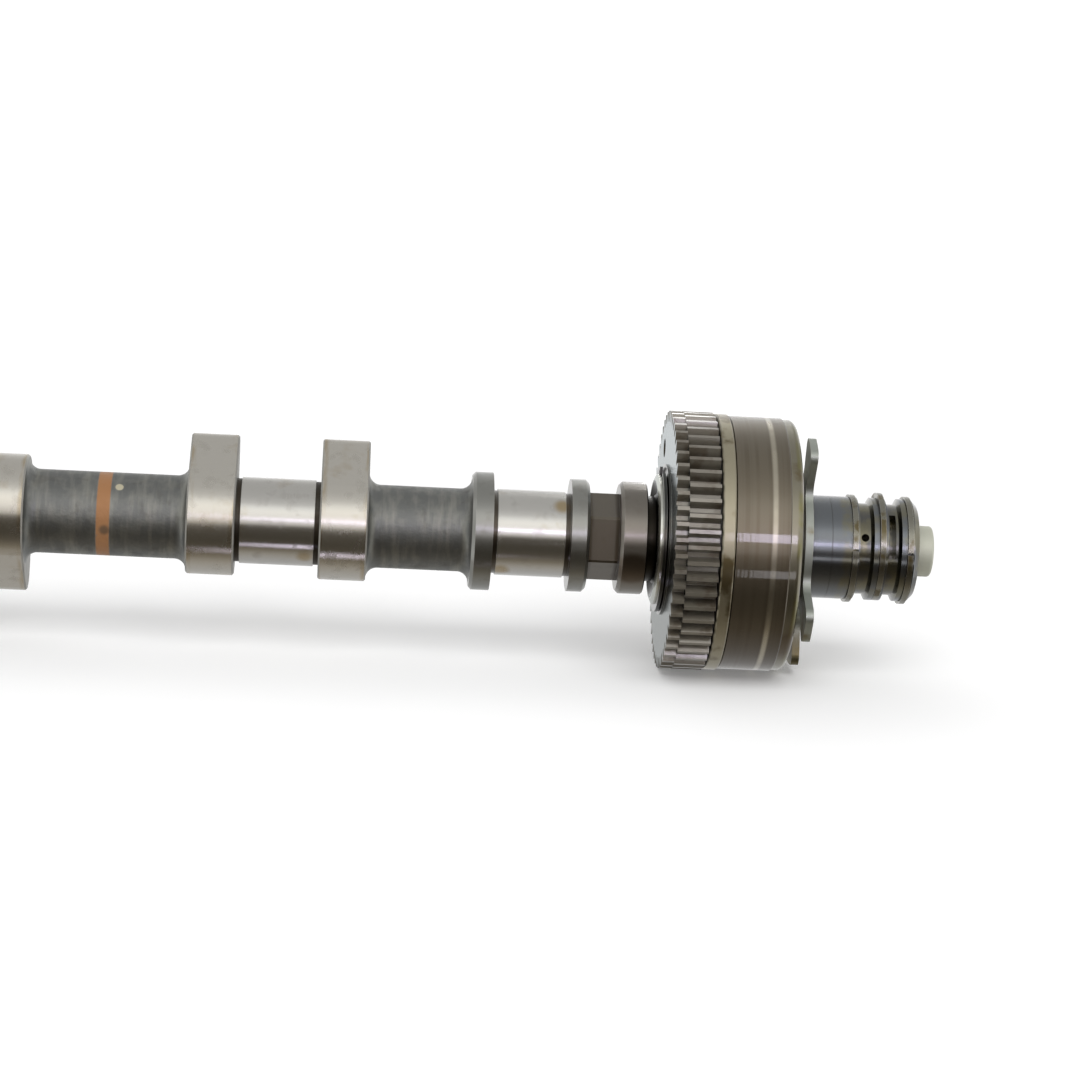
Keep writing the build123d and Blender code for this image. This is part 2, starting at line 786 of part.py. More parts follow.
def make_oil_sleeve():
    lands = sleeve_lands()
    corners = [(trigger_front, 0), (trigger_front, sleeve_radius)]
    for k, groove in enumerate(ring_grooves()):
        corners += [(groove, sleeve_radius), (groove, ring_groove_radius)]
        corners += [(groove + ring_groove_width, ring_groove_radius)]
        corners += [(groove + ring_groove_width, sleeve_radius)]
        if k < len(oil_groove_widths):
            back = lands[k][1]
            front = back + oil_groove_widths[k]
            corners += [(back, sleeve_radius), (back, oil_groove_radius)]
            corners += [(front, oil_groove_radius), (front + oil_groove_lean, sleeve_radius)]
    corners += [(sleeve_front - sleeve_chamfer, sleeve_radius)]
    corners += [(sleeve_front, sleeve_radius - sleeve_chamfer), (sleeve_front, 0)]
    sleeve = revolve(make_face(Polyline(*corners, close=True)), Axis.X)
    seat = sleeve_front + centre_bolt_head_proud - centre_bolt_head_height
    sleeve -= rod(rotor_bore_radius, trigger_front, sleeve_front)
    sleeve -= rod(centre_bolt_head_radius + running_clearance, seat, sleeve_front)
    first_groove = lands[0][1] + oil_groove_widths[0] / 2
    second_groove = lands[1][1] + oil_groove_widths[1] / 2
    sleeve -= radial_hole(
        oil_hole_radius, first_groove, oil_hole_angle, centre_bolt_radius, sleeve_radius
    )
    for angle in drilling_places():
        sleeve -= rod(
            drilling_radius, trigger_front, second_groove, drilling_circle_radius, angle
        )
    half_span = oil_slot_span_angle / 2
    sleeve -= slab(
        sector(oil_groove_radius - oil_slot_depth, sleeve_radius,
               oil_slot_angle - half_span, oil_slot_angle + half_span),
        second_groove - oil_slot_width / 2, second_groove + oil_slot_width / 2,
    )
    return sleeve


def make_seal_ring(groove, shift, gap_angle):
    "Split ring loose in its groove, dropped or lifted by its play."
    back = groove + (ring_groove_width - seal_ring_width) / 2
    outline = ring(seal_ring_inner_radius, seal_ring_outer_radius)
    cut = Pos(0, seal_ring_outer_radius) * Rectangle(seal_ring_gap, seal_ring_outer_radius)
    outline -= Rot(0, 0, -gap_angle) * cut
    return Pos(0, 0, shift) * slab(outline, back, back + seal_ring_width)


def make_centre_bolt():
    head_front = sleeve_front + centre_bolt_head_proud
    seat = head_front - centre_bolt_head_height
    thread_end = rotor_back + spigot_length - thread_depth + centre_bolt_end_gap
    bolt = rod(centre_bolt_head_radius, seat, head_front)
    bolt = fillet(bolt.edges().filter_by(GeomType.CIRCLE).sort_by(Axis.X)[-1], centre_bolt_round)
    bolt -= slab(
        hexagon(centre_bolt_socket_flats), head_front - centre_bolt_socket_depth, head_front
    )
    return bolt + rod(centre_bolt_radius, thread_end, seat)


def main():
    gear_pin, sub_gear_pin = make_scissor_pins()
    parts = {
        "camshaft": make_camshaft(),
        "knock_pin": make_knock_pin(),
        "vane_rotor": make_rotor(),
        "vane_seal_springs": make_vane_seal_springs(),
        "lock_pin": make_lock_pin(),
        "lock_spring": make_lock_spring(),
        "lock_cap": make_lock_cap(),
        "trigger_plate": make_trigger_plate(),
        "oil_sleeve": make_oil_sleeve(),
        "centre_bolt": make_centre_bolt(),
        "housing": make_housing(),
        "land_seal_springs": make_land_seal_springs(),
        "rear_plate": make_rear_plate(),
        "lock_bush": make_lock_bush(),
        "cover_plate": make_cover_plate(),
        "housing_bolts": make_housing_bolts(),
        "main_gear": make_main_gear(),
        "gear_pin": gear_pin,
        "scissor_spring": make_scissor_spring(),
        "spring_washer": make_spring_washer(),
        "snap_ring": make_snap_ring(),
        "sub_gear": make_sub_gear(),
        "sub_gear_pin": sub_gear_pin,
    }
    for k, seal in enumerate(make_vane_seals()):
        parts[f"vane_seal_{k + 1}"] = seal
    for k, seal in enumerate(make_land_seals()):
        parts[f"land_seal_{k + 1}"] = seal
    for k, groove in enumerate(ring_grooves()):
        seal_ring = make_seal_ring(groove, seal_ring_shifts[k], seal_ring_gap_angles[k])
        parts[f"seal_ring_{k + 1}"] = seal_ring
    os.makedirs("parts", exist_ok=True)
    for name, solid in parts.items():
        export_step(solid, f"parts/{name}.step")
        print(name, round(solid.volume, 1))


main()
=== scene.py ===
import json
import math

import bpy
from mathutils import Matrix, Vector


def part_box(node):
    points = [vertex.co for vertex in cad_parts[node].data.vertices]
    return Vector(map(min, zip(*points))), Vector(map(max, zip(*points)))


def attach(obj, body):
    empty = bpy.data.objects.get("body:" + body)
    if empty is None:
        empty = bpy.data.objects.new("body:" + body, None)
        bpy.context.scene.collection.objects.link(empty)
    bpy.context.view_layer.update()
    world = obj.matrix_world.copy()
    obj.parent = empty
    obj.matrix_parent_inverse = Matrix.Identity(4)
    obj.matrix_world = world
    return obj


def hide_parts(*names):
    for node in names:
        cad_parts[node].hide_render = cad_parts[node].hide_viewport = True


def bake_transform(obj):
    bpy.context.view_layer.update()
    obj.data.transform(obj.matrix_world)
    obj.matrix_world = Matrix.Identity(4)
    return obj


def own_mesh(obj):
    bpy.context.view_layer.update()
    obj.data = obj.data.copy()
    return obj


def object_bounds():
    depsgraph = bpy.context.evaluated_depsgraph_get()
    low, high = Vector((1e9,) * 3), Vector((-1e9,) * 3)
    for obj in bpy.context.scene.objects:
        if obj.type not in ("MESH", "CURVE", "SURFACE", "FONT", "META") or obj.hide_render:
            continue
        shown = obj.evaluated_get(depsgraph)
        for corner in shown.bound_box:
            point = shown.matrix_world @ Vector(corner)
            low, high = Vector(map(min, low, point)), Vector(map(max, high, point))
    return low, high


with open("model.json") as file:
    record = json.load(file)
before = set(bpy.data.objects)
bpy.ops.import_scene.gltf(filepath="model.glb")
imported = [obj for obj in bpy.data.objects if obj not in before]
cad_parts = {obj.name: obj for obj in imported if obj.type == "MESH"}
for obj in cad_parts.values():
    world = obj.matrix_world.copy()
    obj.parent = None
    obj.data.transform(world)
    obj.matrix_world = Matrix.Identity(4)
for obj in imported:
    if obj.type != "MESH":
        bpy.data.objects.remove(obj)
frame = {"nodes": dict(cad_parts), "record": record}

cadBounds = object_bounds()
mm = 0.001
print("frame loaded with", len(frame["nodes"]), "nodes")


# node helpers

mixSockets = {"FLOAT": (2, 3, 0), "VECTOR": (4, 5, 1), "RGBA": (6, 7, 2)}    # first, second and result


def addNode(tree, kind, **settings):
    node = tree.nodes.new(kind)
    for key, value in settings.items():
        setattr(node, key, value)
    return node


def feed(tree, value, socket):
    # a socket is linked, and a number or colour is set on the socket itself
    if isinstance(value, bpy.types.NodeSocket):
        tree.links.new(value, socket)
    else:
        socket.default_value = value


def calc(tree, operation, *values, clamp=False):
    node = addNode(tree, "ShaderNodeMath", operation=operation, use_clamp=clamp)
    for k, value in enumerate(values):
        feed(tree, value, node.inputs[k])
    return node.outputs[0]


def times(tree, first, *others):
    for other in others:
        first = calc(tree, "MULTIPLY", first, other)
    return first


def either(tree, first, *others):
    # 1 where any of the masks is 1
    for other in others:
        first = calc(tree, "MAXIMUM", first, other)
    return first


def diagonal(tree, a, b):
    squares = calc(tree, "ADD", calc(tree, "MULTIPLY", a, a), calc(tree, "MULTIPLY", b, b))
    return calc(tree, "POWER", squares, 0.5)


def ramp(tree, value, low, high, start=0.0, end=1.0):
    # soft step from one value to another
    node = addNode(tree, "ShaderNodeMapRange", interpolation_type="SMOOTHSTEP")
    for k, given in enumerate((value, low, high, start, end)):
        feed(tree, given, node.inputs[k])
    return node.outputs[0]


def band(tree, value, low, high, soft):
    # 1 between low and high, 0 outside
    rise = ramp(tree, value, low - soft, low + soft)
    fall = ramp(tree, value, high - soft, high + soft, 1.0, 0.0)
    return calc(tree, "MULTIPLY", rise, fall)


def blend(tree, kind, mask, base, over):
    first, second, result = mixSockets[kind]
    node = addNode(tree, "ShaderNodeMix", data_type=kind)
    feed(tree, mask, node.inputs["Factor"])
    feed(tree, base, node.inputs[first])
    feed(tree, over, node.inputs[second])
    return node.outputs[result]


def blendValue(tree, mask, base, over):
    return blend(tree, "FLOAT", mask, base, over)


def layer(tree, shade, mask, over, share=1.0):
    # lays one colour over another, where the mask says and as strongly as the share
    if share < 1.0:
        mask = calc(tree, "MULTIPLY", mask, share)
    return blend(tree, "RGBA", mask, shade, over)


def axes(tree, vector):
    parts = addNode(tree, "ShaderNodeSeparateXYZ")
    feed(tree, vector, parts.inputs[0])
    return parts.outputs


def objectPoint(tree):
    return addNode(tree, "ShaderNodeTexCoord").outputs["Object"]


def shaftPlace(tree):
    # x along the shaft, distance from its axis, and the point itself, in metres
    point = objectPoint(tree)
    x, y, z = axes(tree, point)
    return x, diagonal(tree, y, z), point


def sideways(tree):
    # 1 on faces square to the shaft, 0 on those along it
    facing = axes(tree, addNode(tree, "ShaderNodeTexCoord").outputs["Normal"])
    return calc(tree, "ABSOLUTE", facing[0])


def noise(tree, point, scale, detail=3.0, stretch=(1, 1, 1)):
    placed = addNode(tree, "ShaderNodeMapping")
    feed(tree, point, placed.inputs["Vector"])
    placed.inputs["Scale"].default_value = stretch
    node = addNode(tree, "ShaderNodeTexNoise")
    feed(tree, placed.outputs[0], node.inputs["Vector"])
    feed(tree, scale, node.inputs["Scale"])
    node.inputs["Detail"].default_value = detail
    return node.outputs[0]


def patches(tree, point, scale, low, high, detail=3.0, start=0.0, end=1.0):
    # uneven mask: start where the noise is under low, end where it is over high
    return ramp(tree, noise(tree, point, scale, detail), low, high, start, end)


def rowNoise(tree, along, pitch, detail):
    # noise that changes in one direction only
    rows = addNode(tree, "ShaderNodeTexNoise", noise_dimensions="1D")
    feed(tree, calc(tree, "DIVIDE", along, pitch), rows.inputs["W"])
    rows.inputs["Scale"].default_value = 1.0
    rows.inputs["Detail"].default_value = detail
    return rows.outputs[0]


def bump(tree, height, depth):
    relief = addNode(tree, "ShaderNodeBump")
    feed(tree, depth, relief.inputs["Distance"])
    feed(tree, height, relief.inputs["Height"])
    return relief.outputs[0]


def nearPoint(tree, point, place, reach, soft):
    # round mark on the surface about one place
    away = addNode(tree, "ShaderNodeVectorMath", operation="DISTANCE")
    feed(tree, point, away.inputs[0])
    away.inputs[1].default_value = place
    return ramp(tree, away.outputs["Value"], reach - soft, reach + soft, 1.0, 0.0)


def newGroup(name, inputs, outputs):
    # inputs are label: (kind of socket, what it holds at first), outputs are label: kind of socket
    tree = bpy.data.node_groups.new(name, "ShaderNodeTree")
    for label, (kind, atFirst) in inputs.items():
        socket = tree.interface.new_socket(label, in_out="INPUT", socket_type="NodeSocket" + kind)
        if atFirst is not None:
            socket.default_value = atFirst
    for label, kind in outputs.items():
        tree.interface.new_socket(label, in_out="OUTPUT", socket_type="NodeSocket" + kind)
    given = addNode(tree, "NodeGroupInput").outputs
    made = addNode(tree, "NodeGroupOutput").inputs
    return tree, given, made


def useGroup(tree, group, **values):
    node = addNode(tree, "ShaderNodeGroup", node_tree=group)
    for label, value in values.items():
        feed(tree, value, node.inputs[label])
    return node.outputs


def newMaterial(name):
    material = bpy.data.materials.new(name)
    material.use_nodes = True
    tree = material.node_tree
    return material, tree, tree.nodes["Principled BSDF"].inputs


def giveFinish(material, *nodes):
    for name in nodes:
        mesh = frame["nodes"][name].data
        mesh.materials.clear()
        mesh.materials.append(material)


def colour(red, green, blue):
    return (red, green, blue, 1.0)


# camera at the photo's viewing angle, for a square image

cameraSetup = {
    "azimuth": 3.63,      # degrees from square on, towards the rear of the shaft
    "elevation": 13.0,
    "tilt": 3.45,         # the picture is turned, so the front end sits lower
    "distance": 1.040,
    "lens": 110.5,
    "sensor": 36.0,
    "nearest": 0.05,
    "furthest": 30.0,
    "aimX": 0.00335,
    "aimUp": -0.0020,
}


def placeCamera(setup):
    a, e, t = (math.radians(setup[k]) for k in ("azimuth", "elevation", "tilt"))
    ahead = Vector((math.sin(a) * math.cos(e), math.cos(a) * math.cos(e), -math.sin(e)))
    level = Vector((math.cos(a), -math.sin(a), 0))
    upright = level.cross(ahead)
    right = math.cos(t) * level + math.sin(t) * upright
    up = math.cos(t) * upright - math.sin(t) * level
    camera = bpy.data.objects.new("camera", bpy.data.cameras.new("camera"))
    bpy.context.scene.collection.objects.link(camera)
    target = Vector((setup["aimX"], 0, 0)) + up * setup["aimUp"]
    turn = Matrix((right, up, -ahead)).transposed()
    camera.matrix_world = Matrix.Translation(target - ahead * setup["distance"]) @ turn.to_4x4()
    camera.data.lens = setup["lens"]
    camera.data.sensor_width = setup["sensor"]
    camera.data.clip_start = setup["nearest"]
    camera.data.clip_end = setup["furthest"]
    bpy.context.scene.camera = camera


placeCamera(cameraSetup)
print("camera placed")


# effects that several finishes share

oilPatches = {"startClean": 0.68, "startCovered": 0.18, "softness": 0.14, "detail": 4.0}
castGrain = {
    "coarse": 260.0,
    "coarseDetail": 5.0,
    "fine": 1400.0,
    "fineDetail": 2.0,
    "fineShare": 0.35,
    "high": (0.45, 0.72),
}
edgeFinder = {"samples": 4, "worn": 0.80, "untouched": 0.97}
cornerFinder = {"samples": 6, "deep": 0.25, "open": 0.85}
markDetail = 3.0


def makeTurningMarks():
    # fine marks from a tool that moved along the part
    tree, given, made = newGroup(
        "turningMarks",
        {"Along": ("Float", None), "Pitch": ("Float", 0.3 * mm), "Depth": ("Float", 0.01 * mm)},
        {"Mask": "Float", "Normal": "Vector"},
    )
    marks = rowNoise(tree, given["Along"], given["Pitch"], markDetail)
    feed(tree, marks, made["Mask"])
    feed(tree, bump(tree, marks, given["Depth"]), made["Normal"])
    return tree


def makeDriedOil():
    # patches with soft rims: Amount 0 is clean and 1 is covered
    tree, given, made = newGroup(
        "driedOil",
        {"Point": ("Vector", None), "Scale": ("Float", 60.0), "Amount": ("Float", 0.3)},
        {"Mask": "Float"},
    )
    perAmount = oilPatches["startCovered"] - oilPatches["startClean"]
    start = calc(tree, "MULTIPLY_ADD", given["Amount"], perAmount, oilPatches["startClean"])
    end = calc(tree, "ADD", start, oilPatches["softness"])
    oil = patches(tree, given["Point"], given["Scale"], start, end, oilPatches["detail"])
    feed(tree, oil, made["Mask"])
    return tree


def makeCastSkin():
    # sand-cast grain: a relief and a mask of its high spots
    tree, given, made = newGroup(
        "castSkin",
        {"Point": ("Vector", None), "Depth": ("Float", 0.1 * mm)},
        {"Mask": "Float", "Normal": "Vector"},
    )
    coarse = noise(tree, given["Point"], castGrain["coarse"], castGrain["coarseDetail"])
    fine = noise(tree, given["Point"], castGrain["fine"], castGrain["fineDetail"])
    height = calc(tree, "MULTIPLY_ADD", fine, castGrain["fineShare"], coarse)
    feed(tree, ramp(tree, coarse, *castGrain["high"]), made["Mask"])
    feed(tree, bump(tree, height, given["Depth"]), made["Normal"])
    return tree


def makeWornEdges():
    # 1 on sharp outer edges, found by comparing a rounded normal with the real one
    tree, given, made = newGroup("wornEdges", {"Width": ("Float", 0.4 * mm)}, {"Mask": "Float"})
    rounded = addNode(tree, "ShaderNodeBevel", samples=edgeFinder["samples"])
    feed(tree, given["Width"], rounded.inputs["Radius"])
    alike = addNode(tree, "ShaderNodeVectorMath", operation="DOT_PRODUCT")
    feed(tree, rounded.outputs[0], alike.inputs[0])
    feed(tree, addNode(tree, "ShaderNodeNewGeometry").outputs["Normal"], alike.inputs[1])
    worn = ramp(tree, alike.outputs["Value"], edgeFinder["worn"], edgeFinder["untouched"], 1.0, 0.0)
    feed(tree, worn, made["Mask"])
    return tree


def makeOilAndShadeCorners():
    # 1 deep in corners, roots and gaps, where old oil stays and shade falls: the colour laid there is
    # painted shade as well as oil
    tree, given, made = newGroup("oilAndShadeCorners", {"Reach": ("Float", 3 * mm)}, {"Mask": "Float"})
    around = addNode(tree, "ShaderNodeAmbientOcclusion", samples=cornerFinder["samples"])
    feed(tree, given["Reach"], around.inputs["Distance"])
    closed = ramp(tree, around.outputs["AO"], cornerFinder["deep"], cornerFinder["open"], 1.0, 0.0)
    feed(tree, closed, made["Mask"])
    return tree


turningMarks = makeTurningMarks()
driedOil = makeDriedOil()
castSkin = makeCastSkin()
wornEdges = makeWornEdges()
oilAndShadeCorners = makeOilAndShadeCorners()
print("shared effects made")


# turned or ground metal with stains, painted shade and old oil in the corners, and worn edges, for
# everything but the camshaft

plainLook = {
    "colour": colour(0.30, 0.30, 0.30),
    "roughness": 0.30,
    "metallic": 1.0,
    "oilColour": colour(0.16, 0.13, 0.10),
    "oilRoughness": 0.38,
    "oilAmount": 0.25,
    "oilScale": 70.0,
    "marksFollow": "length",     # or "radius", on a plate that was faced
    "markPitch": 0.35 * mm,
    "markDepth": 0.004 * mm,
    "markRoughness": 0.06,
    "cornerColour": colour(0.03, 0.026, 0.02),
    "cornerShare": 0.8,
    "cornerReach": 2 * mm,
    "edgeColour": colour(0.55, 0.54, 0.50),
    "edgeShare": 0.35,
    "edgeWidth": 0.3 * mm,
    "film": 0.2,
    "filmRoughness": 0.12,
}


def oiledMetal(name, look):
    material, tree, sockets = newMaterial(name)
    x, radius, point = shaftPlace(tree)
    along = radius if look["marksFollow"] == "radius" else x
    marks = useGroup(tree, turningMarks, Along=along, Pitch=look["markPitch"], Depth=look["markDepth"])
    oil = useGroup(tree, driedOil, Point=point, Scale=look["oilScale"], Amount=look["oilAmount"])["Mask"]
    corner = useGroup(tree, oilAndShadeCorners, Reach=look["cornerReach"])["Mask"]
    edge = useGroup(tree, wornEdges, Width=look["edgeWidth"])["Mask"]
    shade = layer(tree, look["colour"], oil, look["oilColour"])
    # painted shade and old oil deep in corners, from the ambient occlusion mask
    shade = layer(tree, shade, corner, look["cornerColour"], look["cornerShare"])
    shade = layer(tree, shade, edge, look["edgeColour"], look["edgeShare"])
    rough = blendValue(tree, oil, look["roughness"], look["oilRoughness"])
    rough = calc(tree, "MULTIPLY_ADD", marks["Mask"], look["markRoughness"], rough)
    feed(tree, shade, sockets["Base Color"])
    feed(tree, rough, sockets["Roughness"])
    feed(tree, marks["Normal"], sockets["Normal"])
    sockets["Metallic"].default_value = look["metallic"]
    sockets["Coat Weight"].default_value = look["film"]
    sockets["Coat Roughness"].default_value = look["filmRoughness"]
    return material, tree, sockets, shade, rough


# camshaft: dark casting, ground lobes and journals, polished collars and hexagon

shaftLook = {
    "cast": colour(0.195, 0.200, 0.192),
    "castLight": colour(0.30, 0.30, 0.27),
    "castRoughness": 0.46,
    "grainDepth": 0.16 * mm,
    "grainShare": 0.45,
    "streakScale": 75.0,
    "streakDetail": 4.0,
    "streakStretch": (5.5, 1, 1),
    "streaks": (0.42, 0.75),
    "ground": colour(0.61, 0.585, 0.525),
    "groundRoughness": 0.20,
    "lobeSideShare": 0.45,       # the sides of the lobes are only partly bright
    "rimEnds": (0.3, 0.6),       # how square to the shaft a face is where the rim's finish ends
    "journal": colour(0.59, 0.578, 0.54),
    "journalRoughness": 0.17,
    "collar": colour(0.285, 0.285, 0.262),
    "collarRoughness": 0.27,
    "hexagon": colour(0.120, 0.104, 0.080),
    "shoulder": colour(0.200, 0.182, 0.155),
    "markPitch": 0.4 * mm,
    "markDepth": 0.0035 * mm,
    "markRoughness": 0.07,
    "straw": colour(0.36, 0.25, 0.085),
    "brown": colour(0.085, 0.055, 0.030),
    "lobeEdgeStreaks": (0.40, 0.62),
    "lobeEdgeShare": 0.45,
    "stain": {"Scale": 95.0, "Amount": 0.20},
    "stainShare": 0.20,
    "fineStain": {"Scale": 230.0, "Amount": 0.28},
    "fineStainShare": 0.10,
    "fineStainRoughness": 0.06,
    "spotSoft": 1.3 * mm,
    "paint": colour(0.30, 0.135, 0.045),
    "paintWear": {"scale": 380.0, "detail": 6.0, "low": 0.26, "high": 0.36, "start": 0.45, "end": 0.96},
    "dot": colour(0.39, 0.355, 0.25),
    "paintCover": 0.9,           # how little metal shows through the paint and the dot
    # the nose inside the gear is laid near-black: painted shade, with some old oil
    "noseShade": colour(0.012, 0.010, 0.007),
    "noseShadeShare": 0.93,
    # streaky oil and painted shade in the undercuts beside the journals and at the hexagon's ends
    "oilyShadedGutter": colour(0.050, 0.036, 0.020),
    "gutterStreaks": (0.25, 0.55, 0.45, 0.85),
    # painted shade and old oil in the corners and fillets
    "corner": colour(0.022, 0.018, 0.012),
    "cornerShare": 0.85,
    "cornerReach": 3 * mm,
    "edge": colour(0.62, 0.60, 0.55),
    "edgeShare": 0.35,
    "edgeWidth": 0.4 * mm,
    "castFilm": 0.10,
    "machinedFilm": 0.50,
    "filmRoughness": 0.07,
}

# places along the shaft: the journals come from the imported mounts, and the lobes are set out from them
mounts = {mount["name"]: mount for mount in frame["record"]["mounts"]}
firstJournal = mounts["journal_1"]
secondJournal = mounts["journal_2"]
thrustJournal = mounts["thrust_journal"]
shaftPlaces = {
    "pitch": firstJournal["pos_m"][0] - secondJournal["pos_m"][0],
    "firstPair": firstJournal["pos_m"][0],
    "journalHalf": firstJournal["dims"]["length_mm"] / 2 * mm,
    "journalRadius": firstJournal["dims"]["r_mm"] * mm,
    "lobeFrom": 13.05 * mm,
    "lobeTo": 27.95 * mm,
    "rimRadius": 17.25 * mm,
    "lobesEnd": -45.0 * mm,
    "thrustHalf": thrustJournal["dims"]["length_mm"] / 2 * mm,
    "collarsFrom": -18.65 * mm,
    "hexagonFrom": 17.85 * mm,
    "shoulderFrom": 27.45 * mm,
    "noseShadeFrom": 35.75 * mm,    # from here on the nose is inside the gear
    "crisp": 0.02 * mm,          # softness or overrun of a finish that ends at an edge
    "gutterInset": 0.1 * mm,
    "gutterSoft": 0.25 * mm,
    "thrustGutter": 1.5 * mm,
    "hexagonRearGutter": 1.0 * mm,
    "hexagonFrontGutter": 1.2 * mm,
    "hexagonGutterSoft": 0.5 * mm,
    "hexagonInset": 0.05 * mm,
    "lobeEdgeOutside": 0.4 * mm,
    "lobeEdgeInside": 1.6 * mm,
    "lobeEdgeSoft": 0.8 * mm,
    "paintFrom": -134.3 * mm,
    "paintTo": -130.2 * mm,
    "paintSoft": 0.25 * mm,
    "dotX": -127.64 * mm,
    "dotAngle": -36.9,
    "dotRadius": 1.25 * mm,
    "dotSoft": 0.15 * mm,
    "shaftRadius": 13.0 * mm,
    "shoulderRadius": 17.6 * mm,
}
# stained spots: x, radius and angle from the top, then how far each reaches, how strong it is and its colour
shaftSpots = [
    (9.4 * mm, shaftPlaces["journalRadius"], -36, 2.4 * mm, 0.75, "straw"),
    (-9.0 * mm, shaftPlaces["journalRadius"], -139, 2.6 * mm, 0.65, "straw"),
    (-70.0 * mm, shaftPlaces["journalRadius"], -129, 2.2 * mm, 0.55, "straw"),
    (31.5 * mm, shaftPlaces["shoulderRadius"], -112, 5.5 * mm, 0.70, "brown"),
]
paintSpot = {"x": -131.7 * mm, "angle": -100, "reach": 1.5 * mm, "soft": 0.7 * mm, "share": 0.8}


def onShaft(x, radius, angle):
    turn = math.radians(angle)
    return (x, radius * math.sin(turn), radius * math.cos(turn))


def shaftZones(tree, x, radius):
    # masks of the ground and polished stretches
    at = shaftPlaces
    local = addNode(tree, "ShaderNodeMath", operation="WRAP")
    feed(tree, calc(tree, "SUBTRACT", x, at["firstPair"]), local.inputs[0])
    local.inputs[1].default_value = -at["pitch"] / 2
    local.inputs[2].default_value = at["pitch"] / 2
    distance = calc(tree, "ABSOLUTE", local.outputs[0])       # from the middle of the nearest pair
    fromThrust = calc(tree, "ABSOLUTE", x)
    amongLobes = calc(tree, "LESS_THAN", x, at["lobesEnd"])
    ahead = calc(tree, "SUBTRACT", 1.0, amongLobes)
    journal = times(tree, calc(tree, "LESS_THAN", distance, at["journalHalf"]), amongLobes)
    thrust = calc(tree, "LESS_THAN", fromThrust, at["thrustHalf"])
    lobe = times(tree, band(tree, distance, at["lobeFrom"], at["lobeTo"], at["crisp"] / 2), amongLobes)
    machined = calc(tree, "GREATER_THAN", x, at["collarsFrom"] - at["crisp"])
    inset = at["gutterInset"]
    besideJournal = band(tree, distance, at["journalHalf"] + inset, at["lobeFrom"] - inset, at["gutterSoft"])
    besideThrust = band(tree, fromThrust, at["thrustHalf"] + inset, at["thrustHalf"] + at["thrustGutter"],
                        at["gutterSoft"])
    hexagonRear, hexagonFront, soft = at["hexagonFrom"], at["shoulderFrom"], at["hexagonGutterSoft"]
    hexagon = band(tree, x, hexagonRear + at["hexagonInset"], hexagonFront - at["hexagonInset"], at["crisp"])
    hexagonEnds = either(
        tree,
        band(tree, x, hexagonRear + inset, hexagonRear + at["hexagonRearGutter"], soft),
        band(tree, x, hexagonFront - at["hexagonFrontGutter"], hexagonFront - inset, soft),
    )
    return {
        "distance": distance,
        "journal": either(tree, journal, thrust),
        "lobe": lobe,
        "rim": times(tree, lobe, calc(tree, "GREATER_THAN", radius, at["rimRadius"])),
        "machined": times(tree, machined, ahead),
        "hexagon": hexagon,
        "shoulder": calc(tree, "GREATER_THAN", x, hexagonFront - at["crisp"]),
        "noseShade": calc(tree, "GREATER_THAN", x, at["noseShadeFrom"]),
        "oilyShadedGutter": either(tree, times(tree, besideJournal, amongLobes), besideThrust, hexagonEnds),
    }


def lobeEdges(tree, distance):
    # narrow stretches along both edges of each lobe's rim
    at = shaftPlaces
    near, far = at["lobeFrom"], at["lobeTo"]
    outside, inside, soft = at["lobeEdgeOutside"], at["lobeEdgeInside"], at["lobeEdgeSoft"]
    return either(
        tree,
        band(tree, distance, near - outside, near + inside, soft),
        band(tree, distance, far - inside, far + outside, soft),
    )


def paintShaft(tree, shade, x, point):
    # worn paint band, with a stained spot on it and a pale dot beside it
    look, at = shaftLook, shaftPlaces
    worn = patches(tree, point, **look["paintWear"])
    paint = times(tree, band(tree, x, at["paintFrom"], at["paintTo"], at["paintSoft"]), worn)
    dotPlace = onShaft(at["dotX"], at["shaftRadius"], at["dotAngle"])
    dot = nearPoint(tree, point, dotPlace, at["dotRadius"], at["dotSoft"])
    spotPlace = onShaft(paintSpot["x"], at["shaftRadius"], paintSpot["angle"])
    spot = nearPoint(tree, point, spotPlace, paintSpot["reach"], paintSpot["soft"])
    shade = layer(tree, shade, paint, look["paint"])
    shade = layer(tree, shade, spot, look["brown"], paintSpot["share"])
    shade = layer(tree, shade, dot, look["dot"])
    return shade, either(tree, paint, dot)


